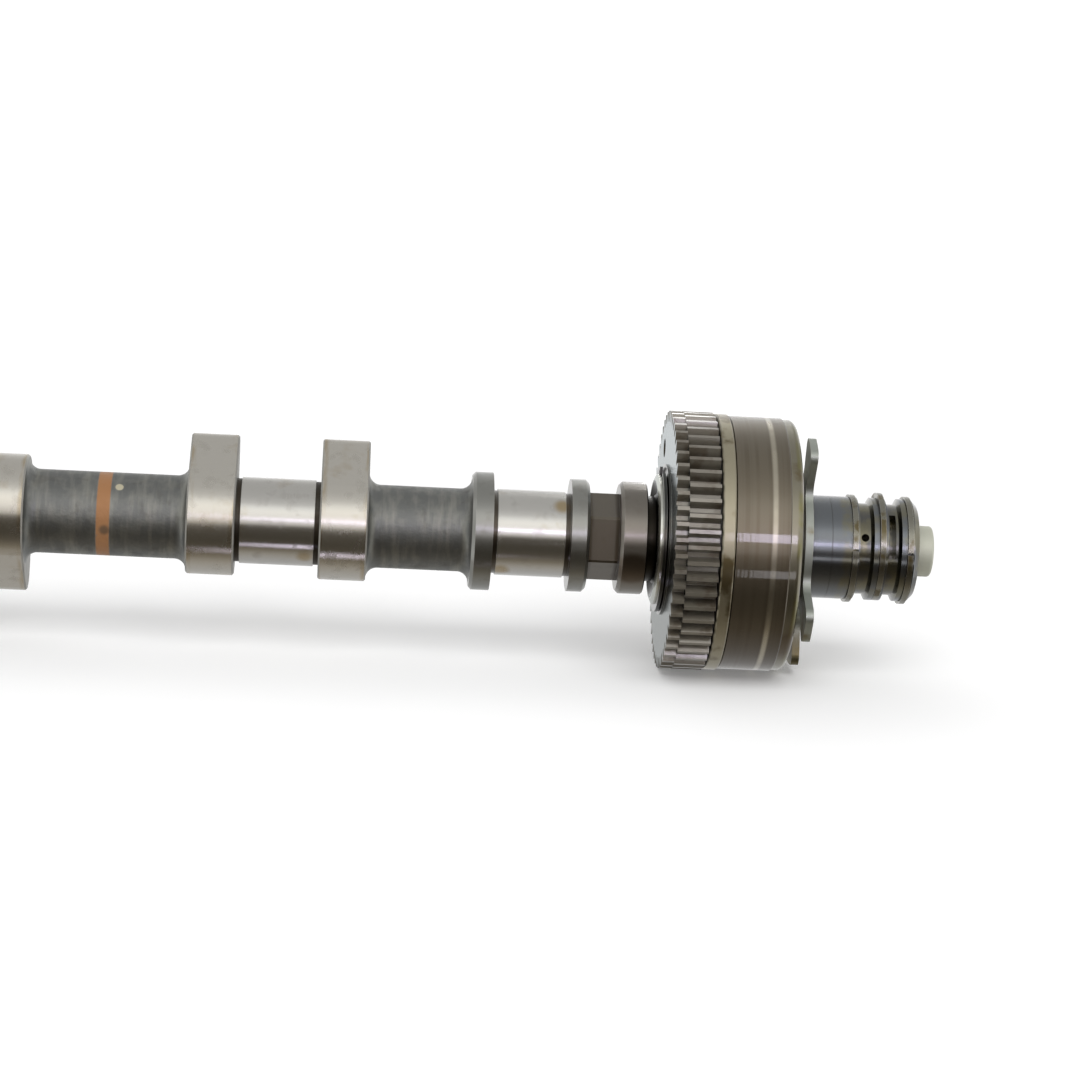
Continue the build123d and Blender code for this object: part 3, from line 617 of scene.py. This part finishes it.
def makeShaftFinish():
    look = shaftLook
    material, tree, sockets = newMaterial("castShaft")
    x, radius, point = shaftPlace(tree)
    zone = shaftZones(tree, x, radius)
    rim = times(tree, zone["rim"], ramp(tree, sideways(tree), *look["rimEnds"], 1.0, 0.0))
    bright = either(tree, rim, zone["journal"])
    skin = useGroup(tree, castSkin, Point=point, Depth=look["grainDepth"])
    marks = useGroup(tree, turningMarks, Along=x, Pitch=look["markPitch"], Depth=look["markDepth"])
    corner = useGroup(tree, oilAndShadeCorners, Reach=look["cornerReach"])["Mask"]
    edge = useGroup(tree, wornEdges, Width=look["edgeWidth"])["Mask"]
    stain = useGroup(tree, driedOil, Point=point, **look["stain"])["Mask"]
    fineStain = useGroup(tree, driedOil, Point=point, **look["fineStain"])["Mask"]
    streaks = noise(tree, point, look["streakScale"], look["streakDetail"], look["streakStretch"])

    shade = layer(tree, look["cast"], ramp(tree, streaks, *look["streaks"]), look["castLight"])
    shade = layer(tree, shade, skin["Mask"], look["castLight"], look["grainShare"])
    shade = layer(tree, shade, zone["machined"], look["collar"])
    shade = layer(tree, shade, zone["hexagon"], look["hexagon"])
    shade = layer(tree, shade, zone["shoulder"], look["shoulder"])
    shade = layer(tree, shade, zone["lobe"], look["ground"], look["lobeSideShare"])
    shade = layer(tree, shade, rim, look["ground"])
    shade = layer(tree, shade, zone["journal"], look["journal"])

    edgeStreaks = ramp(tree, streaks, *look["lobeEdgeStreaks"])
    edgeStain = times(tree, lobeEdges(tree, zone["distance"]), rim, edgeStreaks)
    shade = layer(tree, shade, edgeStain, look["straw"], look["lobeEdgeShare"])
    shade = layer(tree, shade, times(tree, stain, bright), look["straw"], look["stainShare"])
    shade = layer(tree, shade, fineStain, look["brown"], look["fineStainShare"])
    for spotX, spotRadius, angle, reach, share, tint in shaftSpots:
        spot = nearPoint(tree, point, onShaft(spotX, spotRadius, angle), reach, look["spotSoft"])
        shade = layer(tree, shade, spot, look[tint], share)
    # painted shade and old oil deep in the corners
    shade = layer(tree, shade, corner, look["corner"], look["cornerShare"])
    shade = layer(tree, shade, edge, look["edge"], look["edgeShare"])
    # painted shade and oil streaks in the undercuts
    oilyShadedGutter = times(tree, zone["oilyShadedGutter"], ramp(tree, streaks, *look["gutterStreaks"]))
    shade = layer(tree, shade, oilyShadedGutter, look["oilyShadedGutter"])
    shade, painted = paintShaft(tree, shade, x, point)
    # painted shade on the nose inside the gear
    shade = layer(tree, shade, zone["noseShade"], look["noseShade"], look["noseShadeShare"])

    rough = blendValue(tree, zone["machined"], look["castRoughness"], look["collarRoughness"])
    rough = blendValue(tree, rim, rough, look["groundRoughness"])
    rough = blendValue(tree, zone["journal"], rough, look["journalRoughness"])
    rough = calc(tree, "MULTIPLY_ADD", marks["Mask"], look["markRoughness"], rough)
    rough = calc(tree, "MULTIPLY_ADD", fineStain, look["fineStainRoughness"], rough)
    smooth = either(tree, bright, zone["machined"])
    film = blendValue(tree, zone["machined"], look["castFilm"], look["machinedFilm"])
    feed(tree, shade, sockets["Base Color"])
    feed(tree, rough, sockets["Roughness"])
    feed(tree, blend(tree, "VECTOR", smooth, skin["Normal"], marks["Normal"]), sockets["Normal"])
    feed(tree, calc(tree, "SUBTRACT", 1.0, times(tree, painted, look["paintCover"])), sockets["Metallic"])
    feed(tree, blendValue(tree, zone["noseShade"], film, 0.0), sockets["Coat Weight"])
    sockets["Coat Roughness"].default_value = look["filmRoughness"]
    return material


giveFinish(makeShaftFinish(), "camshaft")
print("camshaft finished")


# split gear: brown oil on hobbed steel, with painted shade and old oil in the roots, a painted-shade mouth
# and faces painted lighter above the axis than below

snapRingRear, snapRingFront = (corner.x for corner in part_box("snap_ring"))
gearLook = {
    **plainLook,
    "colour": colour(0.188, 0.170, 0.136),
    "roughness": 0.32,
    "metallic": 0.62,
    "oilColour": colour(0.125, 0.104, 0.074),
    "oilRoughness": 0.34,
    "oilAmount": 0.34,
    "oilScale": 140.0,
    "markPitch": 0.5 * mm,
    "markDepth": 0.006 * mm,
    "cornerShare": 0.30,
    "cornerReach": 1.2 * mm,
    "edgeColour": colour(0.36, 0.34, 0.29),
    "edgeShare": 0.30,
    "film": 0.80,
    "filmRoughness": 0.14,
    "filmIor": 1.85,
    # the faces are painted lighter above the axis and darker below it: painted light and painted shade
    "face": colour(0.58, 0.60, 0.60),
    "faceShadedBelow": colour(0.180, 0.176, 0.150),
    "faceTurn": 14 * mm,         # how far below and above the axis one colour gives way to the other
    "faceAngle": (0.80, 0.95),   # how square to the shaft a face is where the face's finish begins
    "faceTint": colour(0.74, 0.77, 0.78),
    "faceRoughness": 0.20,
    "rim": colour(0.68, 0.68, 0.62),
    "rimFront": snapRingRear,
    # painted shade: the gear's mouth round the nose is laid near-black
    "mouth": colour(0.012, 0.010, 0.007),
    "mouthFront": snapRingFront + 0.1 * mm,
    "mouthRadius": 18.5 * mm,
}


def makeGearFinish():
    look = gearLook
    material, tree, sockets, shade, rough = oiledMetal("oiledGear", look)
    x, radius, point = shaftPlace(tree)
    height = axes(tree, point)[2]
    face = ramp(tree, sideways(tree), *look["faceAngle"])
    rim = calc(tree, "LESS_THAN", x, look["rimFront"])
    # painted shade in the mouth
    mouth = times(tree, calc(tree, "LESS_THAN", radius, look["mouthRadius"]),
                  calc(tree, "LESS_THAN", x, look["mouthFront"]))
    # painted light on the faces' upper half and painted shade on the lower half
    faceLitAbove = ramp(tree, height, -look["faceTurn"], look["faceTurn"])
    shade = layer(tree, shade, face, layer(tree, look["faceShadedBelow"], faceLitAbove, look["face"]))
    shade = layer(tree, shade, rim, look["rim"])
    shade = layer(tree, shade, mouth, look["mouth"])
    polished = either(tree, face, rim)
    feed(tree, shade, sockets["Base Color"])
    feed(tree, blendValue(tree, polished, rough, look["faceRoughness"]), sockets["Roughness"])
    feed(tree, blendValue(tree, polished, look["metallic"], 1.0), sockets["Metallic"])
    feed(tree, layer(tree, colour(1, 1, 1), face, look["faceTint"]), sockets["Specular Tint"])
    feed(tree, blendValue(tree, polished, look["film"], 0.0), sockets["Coat Weight"])
    sockets["Coat IOR"].default_value = look["filmIor"]
    return material


giveFinish(makeGearFinish(), "main_gear", "sub_gear")
print("gears finished")


# drum: turned, with a polished band round it and an oil film that keeps the turning's waves

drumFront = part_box("housing")[1].x
drumLook = {
    **plainLook,
    "colour": colour(0.168, 0.142, 0.100),
    "roughness": 0.36,
    "oilColour": colour(0.105, 0.082, 0.055),
    "oilRoughness": 0.32,
    "oilAmount": 0.0,
    "oilScale": 60.0,
    "markPitch": 0.9 * mm,
    "markDepth": 0.010 * mm,
    "markRoughness": 0.10,
    "film": 0.85,
    "filmRoughness": 0.055,
    "filmWave": 0.007 * mm,
    "polished": colour(0.46, 0.42, 0.33),
    "polishedRoughness": 0.26,
    "polishedFrom": drumFront - 5.85 * mm,
    "polishedTo": drumFront - 4.35 * mm,
    "polishedSoft": 0.45 * mm,
    "polishedWear": {"scale": 55.0, "low": 0.30, "high": 0.62, "start": 0.45, "end": 0.95},
    "streakColour": colour(0.100, 0.078, 0.048),
    "streakPitch": 2.6 * mm,
    "streakDetail": 2.0,
    "streakRows": (0.42, 0.66),
    "streakPatches": {"scale": 32.0, "detail": 2.0, "low": 0.36, "high": 0.60},
    "streakShare": 0.45,
    # painted shade: the drum's colour is darkened towards its lower side
    "underShadeColour": colour(0.075, 0.055, 0.034),
    "lowShare": 0.75,
    "lowFrom": -10 * mm,         # height at which the darker lower side begins, and where it is full
    "underShadeFull": -28 * mm,
}


def roundStreaks(tree, x, point, look):
    # bands round the drum, each fading in and out along the circumference
    rows = rowNoise(tree, x, look["streakPitch"], look["streakDetail"])
    return times(tree, ramp(tree, rows, *look["streakRows"]), patches(tree, point, **look["streakPatches"]))


def makeDrumFinish():
    look = drumLook
    material, tree, sockets, shade, rough = oiledMetal("oiledDrum", look)
    x, radius, point = shaftPlace(tree)
    height = axes(tree, point)[2]
    # painted shade on the lower side
    low = ramp(tree, height, look["underShadeFull"], look["lowFrom"], look["lowShare"], 0.0)
    polished = times(tree, band(tree, x, look["polishedFrom"], look["polishedTo"], look["polishedSoft"]),
                     patches(tree, point, **look["polishedWear"]))
    streaks = roundStreaks(tree, x, point, look)
    shade = layer(tree, shade, streaks, look["streakColour"], look["streakShare"])
    shade = layer(tree, shade, low, look["underShadeColour"])
    waves = bump(tree, rowNoise(tree, x, look["markPitch"], markDetail), look["filmWave"])
    feed(tree, layer(tree, shade, polished, look["polished"]), sockets["Base Color"])
    feed(tree, blendValue(tree, polished, rough, look["polishedRoughness"]), sockets["Roughness"])
    feed(tree, waves, sockets["Coat Normal"])
    return material


giveFinish(makeDrumFinish(), "housing")
print("drum finished")


# cover and rear plate: ground, with a straw-coloured film that is greener at the cover's rim

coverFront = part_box("cover_plate")[1].x
coverLook = {
    **plainLook,
    "colour": colour(0.225, 0.207, 0.150),
    "roughness": 0.32,
    "oilColour": colour(0.150, 0.118, 0.058),
    "oilRoughness": 0.28,
    "oilAmount": 0.22,
    "oilScale": 95.0,
    "markPitch": 0.4 * mm,
    "markDepth": 0.005 * mm,
    "film": 0.8,
    "filmRoughness": 0.06,
    "rim": colour(0.200, 0.185, 0.070),
    "rimShare": 0.8,
    "rimFrom": coverFront - 1.9 * mm,
    "rimTo": coverFront + 1.0 * mm,
    "rimSoft": 0.5 * mm,
    "rimPatches": {"scale": 130.0, "low": 0.35, "high": 0.60},
    "low": colour(0.072, 0.042, 0.012),
    "lowShare": 0.8,
    "lowFrom": -31 * mm,
    "lowTo": -18 * mm,
    "lowSoft": 4 * mm,
    "lowPatches": {"scale": 70.0, "low": 0.30, "high": 0.55},
}
rearPlateLook = {
    **coverLook,
    "colour": colour(0.385, 0.350, 0.250),
    "roughness": 0.42,
    "oilAmount": 0.28,
    "oilRoughness": 0.36,
    "film": 0.5,
}


def makeCoverFinish():
    look = coverLook
    material, tree, sockets, shade, rough = oiledMetal("strawPlate", look)
    x, radius, point = shaftPlace(tree)
    height = axes(tree, point)[2]
    rim = times(tree, band(tree, x, look["rimFrom"], look["rimTo"], look["rimSoft"]),
                patches(tree, point, **look["rimPatches"]))
    low = times(tree, band(tree, height, look["lowFrom"], look["lowTo"], look["lowSoft"]),
                patches(tree, point, **look["lowPatches"]))
    shade = layer(tree, shade, rim, look["rim"], look["rimShare"])
    shade = layer(tree, shade, low, look["low"], look["lowShare"])
    feed(tree, shade, sockets["Base Color"])
    return material


giveFinish(makeCoverFinish(), "cover_plate")
giveFinish(oiledMetal("rearPlate", rearPlateLook)[0], "rear_plate")
print("plates finished")


# trigger plate: dull zinc, brown where oil dried on its lower lobe

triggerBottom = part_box("trigger_plate")[0].z
triggerLook = {
    **plainLook,
    "colour": colour(0.42, 0.445, 0.40),
    "roughness": 0.46,
    "oilColour": colour(0.20, 0.17, 0.10),
    "oilAmount": 0.22,
    "oilScale": 75.0,
    "marksFollow": "radius",
    "film": 0.1,
    "lowLobe": colour(0.150, 0.120, 0.045),
    "lowLobeShare": 0.85,
    "lowLobeFull": triggerBottom + 7 * mm,
    "lowLobeEnd": triggerBottom + 17 * mm,
}


def makeTriggerFinish():
    look = triggerLook
    material, tree, sockets, shade, rough = oiledMetal("zincPlate", look)
    height = axes(tree, objectPoint(tree))[2]
    low = ramp(tree, height, look["lowLobeFull"], look["lowLobeEnd"], look["lowLobeShare"], 0.0)
    feed(tree, layer(tree, shade, low, look["lowLobe"]), sockets["Base Color"])
    return material


giveFinish(makeTriggerFinish(), "trigger_plate")
print("trigger plate finished")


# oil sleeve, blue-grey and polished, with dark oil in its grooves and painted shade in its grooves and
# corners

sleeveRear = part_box("oil_sleeve")[0].x
sleeveLook = {
    **plainLook,
    "colour": colour(0.150, 0.162, 0.174),
    "roughness": 0.22,
    "oilColour": colour(0.120, 0.110, 0.080),
    "oilRoughness": 0.24,
    "oilAmount": 0.10,
    "oilScale": 110.0,
    "markPitch": 0.5 * mm,
    # painted shade and old oil deep in the grooves and corners
    "cornerColour": colour(0.035, 0.033, 0.026),
    "cornerShare": 0.9,
    "cornerReach": 4.5 * mm,
    "film": 0.75,
    "filmRoughness": 0.05,
    "scribeAt": sleeveRear + 6.75 * mm,
    "scribeWidth": 0.25 * mm,
    "scribeSoft": 0.05 * mm,
    "scribeShare": 0.6,
    "landsFrom": sleeveRear + 9.15 * mm,
    "landsFull": sleeveRear + 10.55 * mm,
    "landTint": colour(0.200, 0.180, 0.095),
    "landTintShare": 0.6,
    "landPatches": {"scale": 160.0, "low": 0.40, "high": 0.62},
    "groove": colour(0.085, 0.082, 0.072),
    "grooveShare": 0.75,
    "grooveRadius": 15.9 * mm,
}


def makeSleeveFinish():
    look = sleeveLook
    material, tree, sockets, shade, rough = oiledMetal("polishedSleeve", look)
    x, radius, point = shaftPlace(tree)
    scribe = band(tree, x, look["scribeAt"], look["scribeAt"] + look["scribeWidth"], look["scribeSoft"])
    lands = ramp(tree, x, look["landsFrom"], look["landsFull"])
    grooves = times(tree, calc(tree, "LESS_THAN", radius, look["grooveRadius"]), lands)
    tinted = times(tree, lands, patches(tree, point, **look["landPatches"]))
    shade = layer(tree, shade, scribe, look["cornerColour"], look["scribeShare"])
    shade = layer(tree, shade, grooves, look["groove"], look["grooveShare"])
    shade = layer(tree, shade, tinted, look["landTint"], look["landTintShare"])
    feed(tree, shade, sockets["Base Color"])
    return material


giveFinish(makeSleeveFinish(), "oil_sleeve")
print("sleeve finished")


# seal rings, olive and brown from hot oil, and the centre bolt with its pale satin head

ringLook = {
    **plainLook,
    "colour": colour(0.245, 0.238, 0.196),
    "roughness": 0.22,
    "oilColour": colour(0.130, 0.106, 0.052),
    "oilAmount": 0.45,
    "oilScale": 150.0,
    "cornerReach": 1.5 * mm,
    # the edges are worn bright and carry a painted highlight as well
    "edgeColour": colour(0.75, 0.74, 0.70),
    "edgeShare": 0.6,
    "film": 0.3,
}
boltLook = {
    **plainLook,
    "colour": colour(0.535, 0.54, 0.455),
    "roughness": 0.55,
    "metallic": 0.55,
    "oilColour": colour(0.36, 0.34, 0.26),
    "oilRoughness": 0.50,
    "oilAmount": 0.10,
    "markDepth": 0.003 * mm,
    "edgeShare": 0.1,
    "film": 0.0,
}
giveFinish(oiledMetal("sealRing", ringLook)[0], "seal_ring_1", "seal_ring_2", "seal_ring_3")
giveFinish(oiledMetal("paleBolt", boltLook)[0], "centre_bolt")
print("rings and centre bolt finished")


# inside pieces and small hardware

darkLook = {
    **plainLook,
    "colour": colour(0.235, 0.235, 0.24),
    "roughness": 0.28,
    "oilAmount": 0.3,
}
springLook = {
    **plainLook,
    "colour": colour(0.060, 0.060, 0.056),
    "roughness": 0.26,
    "oilAmount": 0.2,
    "edgeShare": 0.6,
    "film": 0.6,
    "filmRoughness": 0.08,
}
rotorLook = {
    **plainLook,
    "colour": colour(0.33, 0.32, 0.30),
    "roughness": 0.38,
    "markDepth": 0.008 * mm,
}
stripLook = {"colour": colour(0.035, 0.03, 0.026), "roughness": 0.5}
sealStrips = [f"{kind}_seal_{k}" for kind in ("vane", "land") for k in range(1, 5)]


def makeStripFinish(look):
    material, tree, sockets = newMaterial("sealStrip")
    sockets["Base Color"].default_value = look["colour"]
    sockets["Roughness"].default_value = look["roughness"]
    return material


giveFinish(oiledMetal("darkSteel", darkLook)[0], "knock_pin", "lock_pin", "lock_cap", "lock_bush",
           "housing_bolts", "gear_pin", "sub_gear_pin")
giveFinish(oiledMetal("springSteel", springLook)[0], "vane_seal_springs", "lock_spring",
           "land_seal_springs", "scissor_spring", "spring_washer", "snap_ring")
giveFinish(oiledMetal("sinteredSteel", rotorLook)[0], "vane_rotor")
giveFinish(makeStripFinish(stripLook), *sealStrips)
print("small pieces finished")


# springs, shown as copies of their CAD pieces

def standIn(node):
    # copy of a CAD piece, shown in its place
    piece = bpy.data.objects.new(node + "_flexing", frame["nodes"][node].data.copy())
    bpy.context.scene.collection.objects.link(piece)
    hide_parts(node)
    return piece


def makeLockSpring():
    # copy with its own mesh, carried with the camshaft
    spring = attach(standIn("lock_spring"), "camshaft")
    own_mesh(spring)


def makeScissorSpring():
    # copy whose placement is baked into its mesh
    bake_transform(standIn("scissor_spring"))


makeLockSpring()
makeScissorSpring()
print("springs placed")


# floor, world and the tent that the metal mirrors

studio = {
    "worldStrength": 0.62,
    "floorSize": 12.0,
    "floorHeight": cadBounds[0].z,
    "floorColour": colour(0.82, 0.82, 0.82),
    "floorRoughness": 0.9,
    "nearLift": 0.16,            # glow of the floor by the part and far from it
    "farLift": 0.75,
    "farFrom": 0.20,
    "farTo": 1.00,
    "lengthwise": 0.45,          # the part is long, so distance along it counts for less
    "tentRadius": 1.6,
    "tentLength": 5.0,
    "tentSteps": 120,
    "warmGreen": 0.12,           # how much green and blue the warmest stretches of the tent lack
    "warmBlue": 0.30,
}
# height angle, brightness and warmth of the tent: 0 is level in front, 90 is overhead,
# 180 is level behind and -90 is straight below
tentStops = [
    (-180, 1.05, 0), (-169, 0.98, 0), (-161, 0.72, 0), (-140, 0.58, 0), (-120, 0.53, 0), (-100, 0.50, 0.2),
    (-85, 0.43, 0.5), (-70, 0.26, 1), (-52, 0.115, 1), (-34, 0.075, 1), (-8, 0.085, 1), (1.5, 0.115, 0.8),
    (5, 0.80, 0.3), (13, 0.92, 0.2), (24, 1.20, 0.2), (38, 1.38, 0.1), (48, 1.22, 0), (60, 0.76, 0),
    (78, 0.60, 0), (105, 0.56, 0), (135, 0.56, 0), (158, 0.70, 0), (180, 1.05, 0),
]


def backgroundRays(tree):
    # 1 for rays that should meet the white background
    path = addNode(tree, "ShaderNodeLightPath").outputs
    seen = calc(tree, "ADD", path["Is Camera Ray"], path["Is Glossy Ray"])
    return calc(tree, "ADD", seen, path["Is Transmission Ray"], clamp=True)


def makeWorld():
    world = bpy.data.worlds.new("studio")
    bpy.context.scene.world = world
    world.use_nodes = True
    tree = world.node_tree
    background = tree.nodes["Background"].inputs
    background["Color"].default_value = colour(1, 1, 1)
    strength = blendValue(tree, backgroundRays(tree), studio["worldStrength"], 1.0)
    feed(tree, strength, background["Strength"])


def addMesh(name, verts, faces, material):
    mesh = bpy.data.meshes.new(name)
    mesh.from_pydata(verts, [], faces)
    mesh.materials.append(material)
    thing = bpy.data.objects.new(name, mesh)
    bpy.context.scene.collection.objects.link(thing)
    return thing


def makeFloor():
    # matte and white. Further from the part it is lifted to the white of the background
    material, tree, sockets = newMaterial("paleFloor")
    sockets["Base Color"].default_value = studio["floorColour"]
    sockets["Roughness"].default_value = studio["floorRoughness"]
    sockets["Specular IOR Level"].default_value = 0.0
    x, y, z = axes(tree, objectPoint(tree))
    away = diagonal(tree, times(tree, x, studio["lengthwise"]), y)
    lift = ramp(tree, away, studio["farFrom"], studio["farTo"], studio["nearLift"], studio["farLift"])
    glow = addNode(tree, "ShaderNodeEmission")
    feed(tree, times(tree, backgroundRays(tree), lift), glow.inputs["Strength"])
    both = addNode(tree, "ShaderNodeAddShader")
    tree.links.new(tree.nodes["Principled BSDF"].outputs[0], both.inputs[0])
    tree.links.new(glow.outputs[0], both.inputs[1])
    tree.links.new(both.outputs[0], tree.nodes["Material Output"].inputs["Surface"])
    half, height = studio["floorSize"] / 2, studio["floorHeight"]
    corners = [(-half, -half, height), (half, -half, height), (half, half, height), (-half, half, height)]
    floor = addMesh("floor", corners, [(0, 1, 2, 3)], material)
    floor.visible_glossy = False


def glowMaterial(name, tint, strength):
    material = bpy.data.materials.new(name)
    material.use_nodes = True
    tree = material.node_tree
    tree.nodes.clear()
    glow = addNode(tree, "ShaderNodeEmission")
    glow.inputs["Color"].default_value = tint
    glow.inputs["Strength"].default_value = strength
    out = addNode(tree, "ShaderNodeOutputMaterial")
    tree.links.new(glow.outputs[0], out.inputs["Surface"])
    return material, tree, glow


def onlyMirrored(card):
    # seen in the metal's reflections alone: it lights nothing, casts nothing and hides from the camera
    card.visible_camera = False
    card.visible_diffuse = False
    card.visible_transmission = False
    card.visible_shadow = False


def tentHeightAngle(tree):
    # the angle of tentStops, as 0 for -180 degrees and 1 for 180
    x, y, z = axes(tree, objectPoint(tree))
    angle = calc(tree, "ARCTAN2", z, calc(tree, "MULTIPLY", y, -1.0))
    return calc(tree, "MULTIPLY_ADD", angle, 0.5 / math.pi, 0.5, clamp=True)


def makeTent():
    # pipe of cloth round the shaft, whose brightness changes with the height angle
    steps, radius, half = studio["tentSteps"], studio["tentRadius"], studio["tentLength"] / 2
    verts = []
    for k in range(steps):
        angle = math.tau * k / steps
        y, z = -radius * math.cos(angle), radius * math.sin(angle)
        verts += [(-half, y, z), (half, y, z)]
    corners = 2 * steps
    faces = [(k, k + 1, (k + 3) % corners, (k + 2) % corners) for k in range(0, corners, 2)]
    peak = max(level for degrees, level, warmth in tentStops)
    material, tree, glow = glowMaterial("tentCloth", colour(1, 1, 1), peak)
    levels = addNode(tree, "ShaderNodeValToRGB")
    points = levels.color_ramp.elements
    while len(points) < len(tentStops):
        points.new(0.5)
    for point, (degrees, level, warmth) in zip(points, tentStops):
        share = level / peak
        green, blue = 1 - studio["warmGreen"] * warmth, 1 - studio["warmBlue"] * warmth
        point.position = (degrees + 180) / 360
        point.color = colour(share, share * green, share * blue)
    feed(tree, tentHeightAngle(tree), levels.inputs[0])
    tree.links.new(levels.outputs[0], glow.inputs["Color"])
    onlyMirrored(addMesh("tent", verts, faces, material))


makeWorld()
makeFloor()
makeTent()
print("floor and tent ready")


# glowing strips that the metal mirrors, and lamps that light the part

violet = colour(0.86, 0.80, 1.0)
plain = colour(0.97, 0.95, 0.98)
white = colour(1, 1, 1)
# y and z of its middle, x from and to, width, colour and strength
strips = {
    "rearTube": ((-1.15, 0.37), (-0.10, 0.150), 0.15, violet, 3.4),
    "mainTube": ((-1.15, 0.37), (0.198, 0.262), 0.16, violet, 11.0),
    "frontTube": ((-1.15, 0.37), (0.262, 0.75), 0.15, violet, 3.3),
    "lowTube": ((-1.15, -0.29), (0.205, 0.262), 0.14, plain, 3.3),
    "lowFrontTube": ((-1.15, -0.29), (0.262, 0.55), 0.14, plain, 1.5),
    "lobeTube": ((-0.69, -0.98), (-0.090, -0.035), 0.22, violet, 4.5),
    "gearTopCard": ((1.07, 0.56), (0.150, 0.192), 0.95, white, 4.5),
}
lamps = {
    "keyLamp": {"place": (0.2, -1.2, 1.5), "size": (1.8, 1.2), "power": 22},
    "fillLamp": {"place": (-0.6, 1.3, 1.2), "size": (1.8, 1.2), "power": 8},
}


def makeStrip(name, place, reach, width, tint, strength):
    # flat strip along the shaft that faces it
    y, z = place
    fromX, toX = reach
    lean = Vector((0, -z, y)).normalized() * width / 2
    verts = [(fromX, y - lean.y, z - lean.z), (toX, y - lean.y, z - lean.z),
             (toX, y + lean.y, z + lean.z), (fromX, y + lean.y, z + lean.z)]
    material, tree, glow = glowMaterial(name, tint, strength)
    onlyMirrored(addMesh(name, verts, [(0, 1, 2, 3)], material))


def addLamp(name, setup):
    lamp = bpy.data.lights.new(name, "AREA")
    lamp.shape = "RECTANGLE"
    lamp.size, lamp.size_y = setup["size"]
    lamp.energy = setup["power"]
    holder = bpy.data.objects.new(name, lamp)
    bpy.context.scene.collection.objects.link(holder)
    holder.location = setup["place"]
    holder.rotation_euler = (-Vector(setup["place"])).to_track_quat("-Z", "Y").to_euler()
    holder.visible_glossy = False


for name, values in strips.items():
    makeStrip(name, *values)
for name, setup in lamps.items():
    addLamp(name, setup)
bpy.context.scene.view_settings.view_transform = "Standard"
print("studio ready")
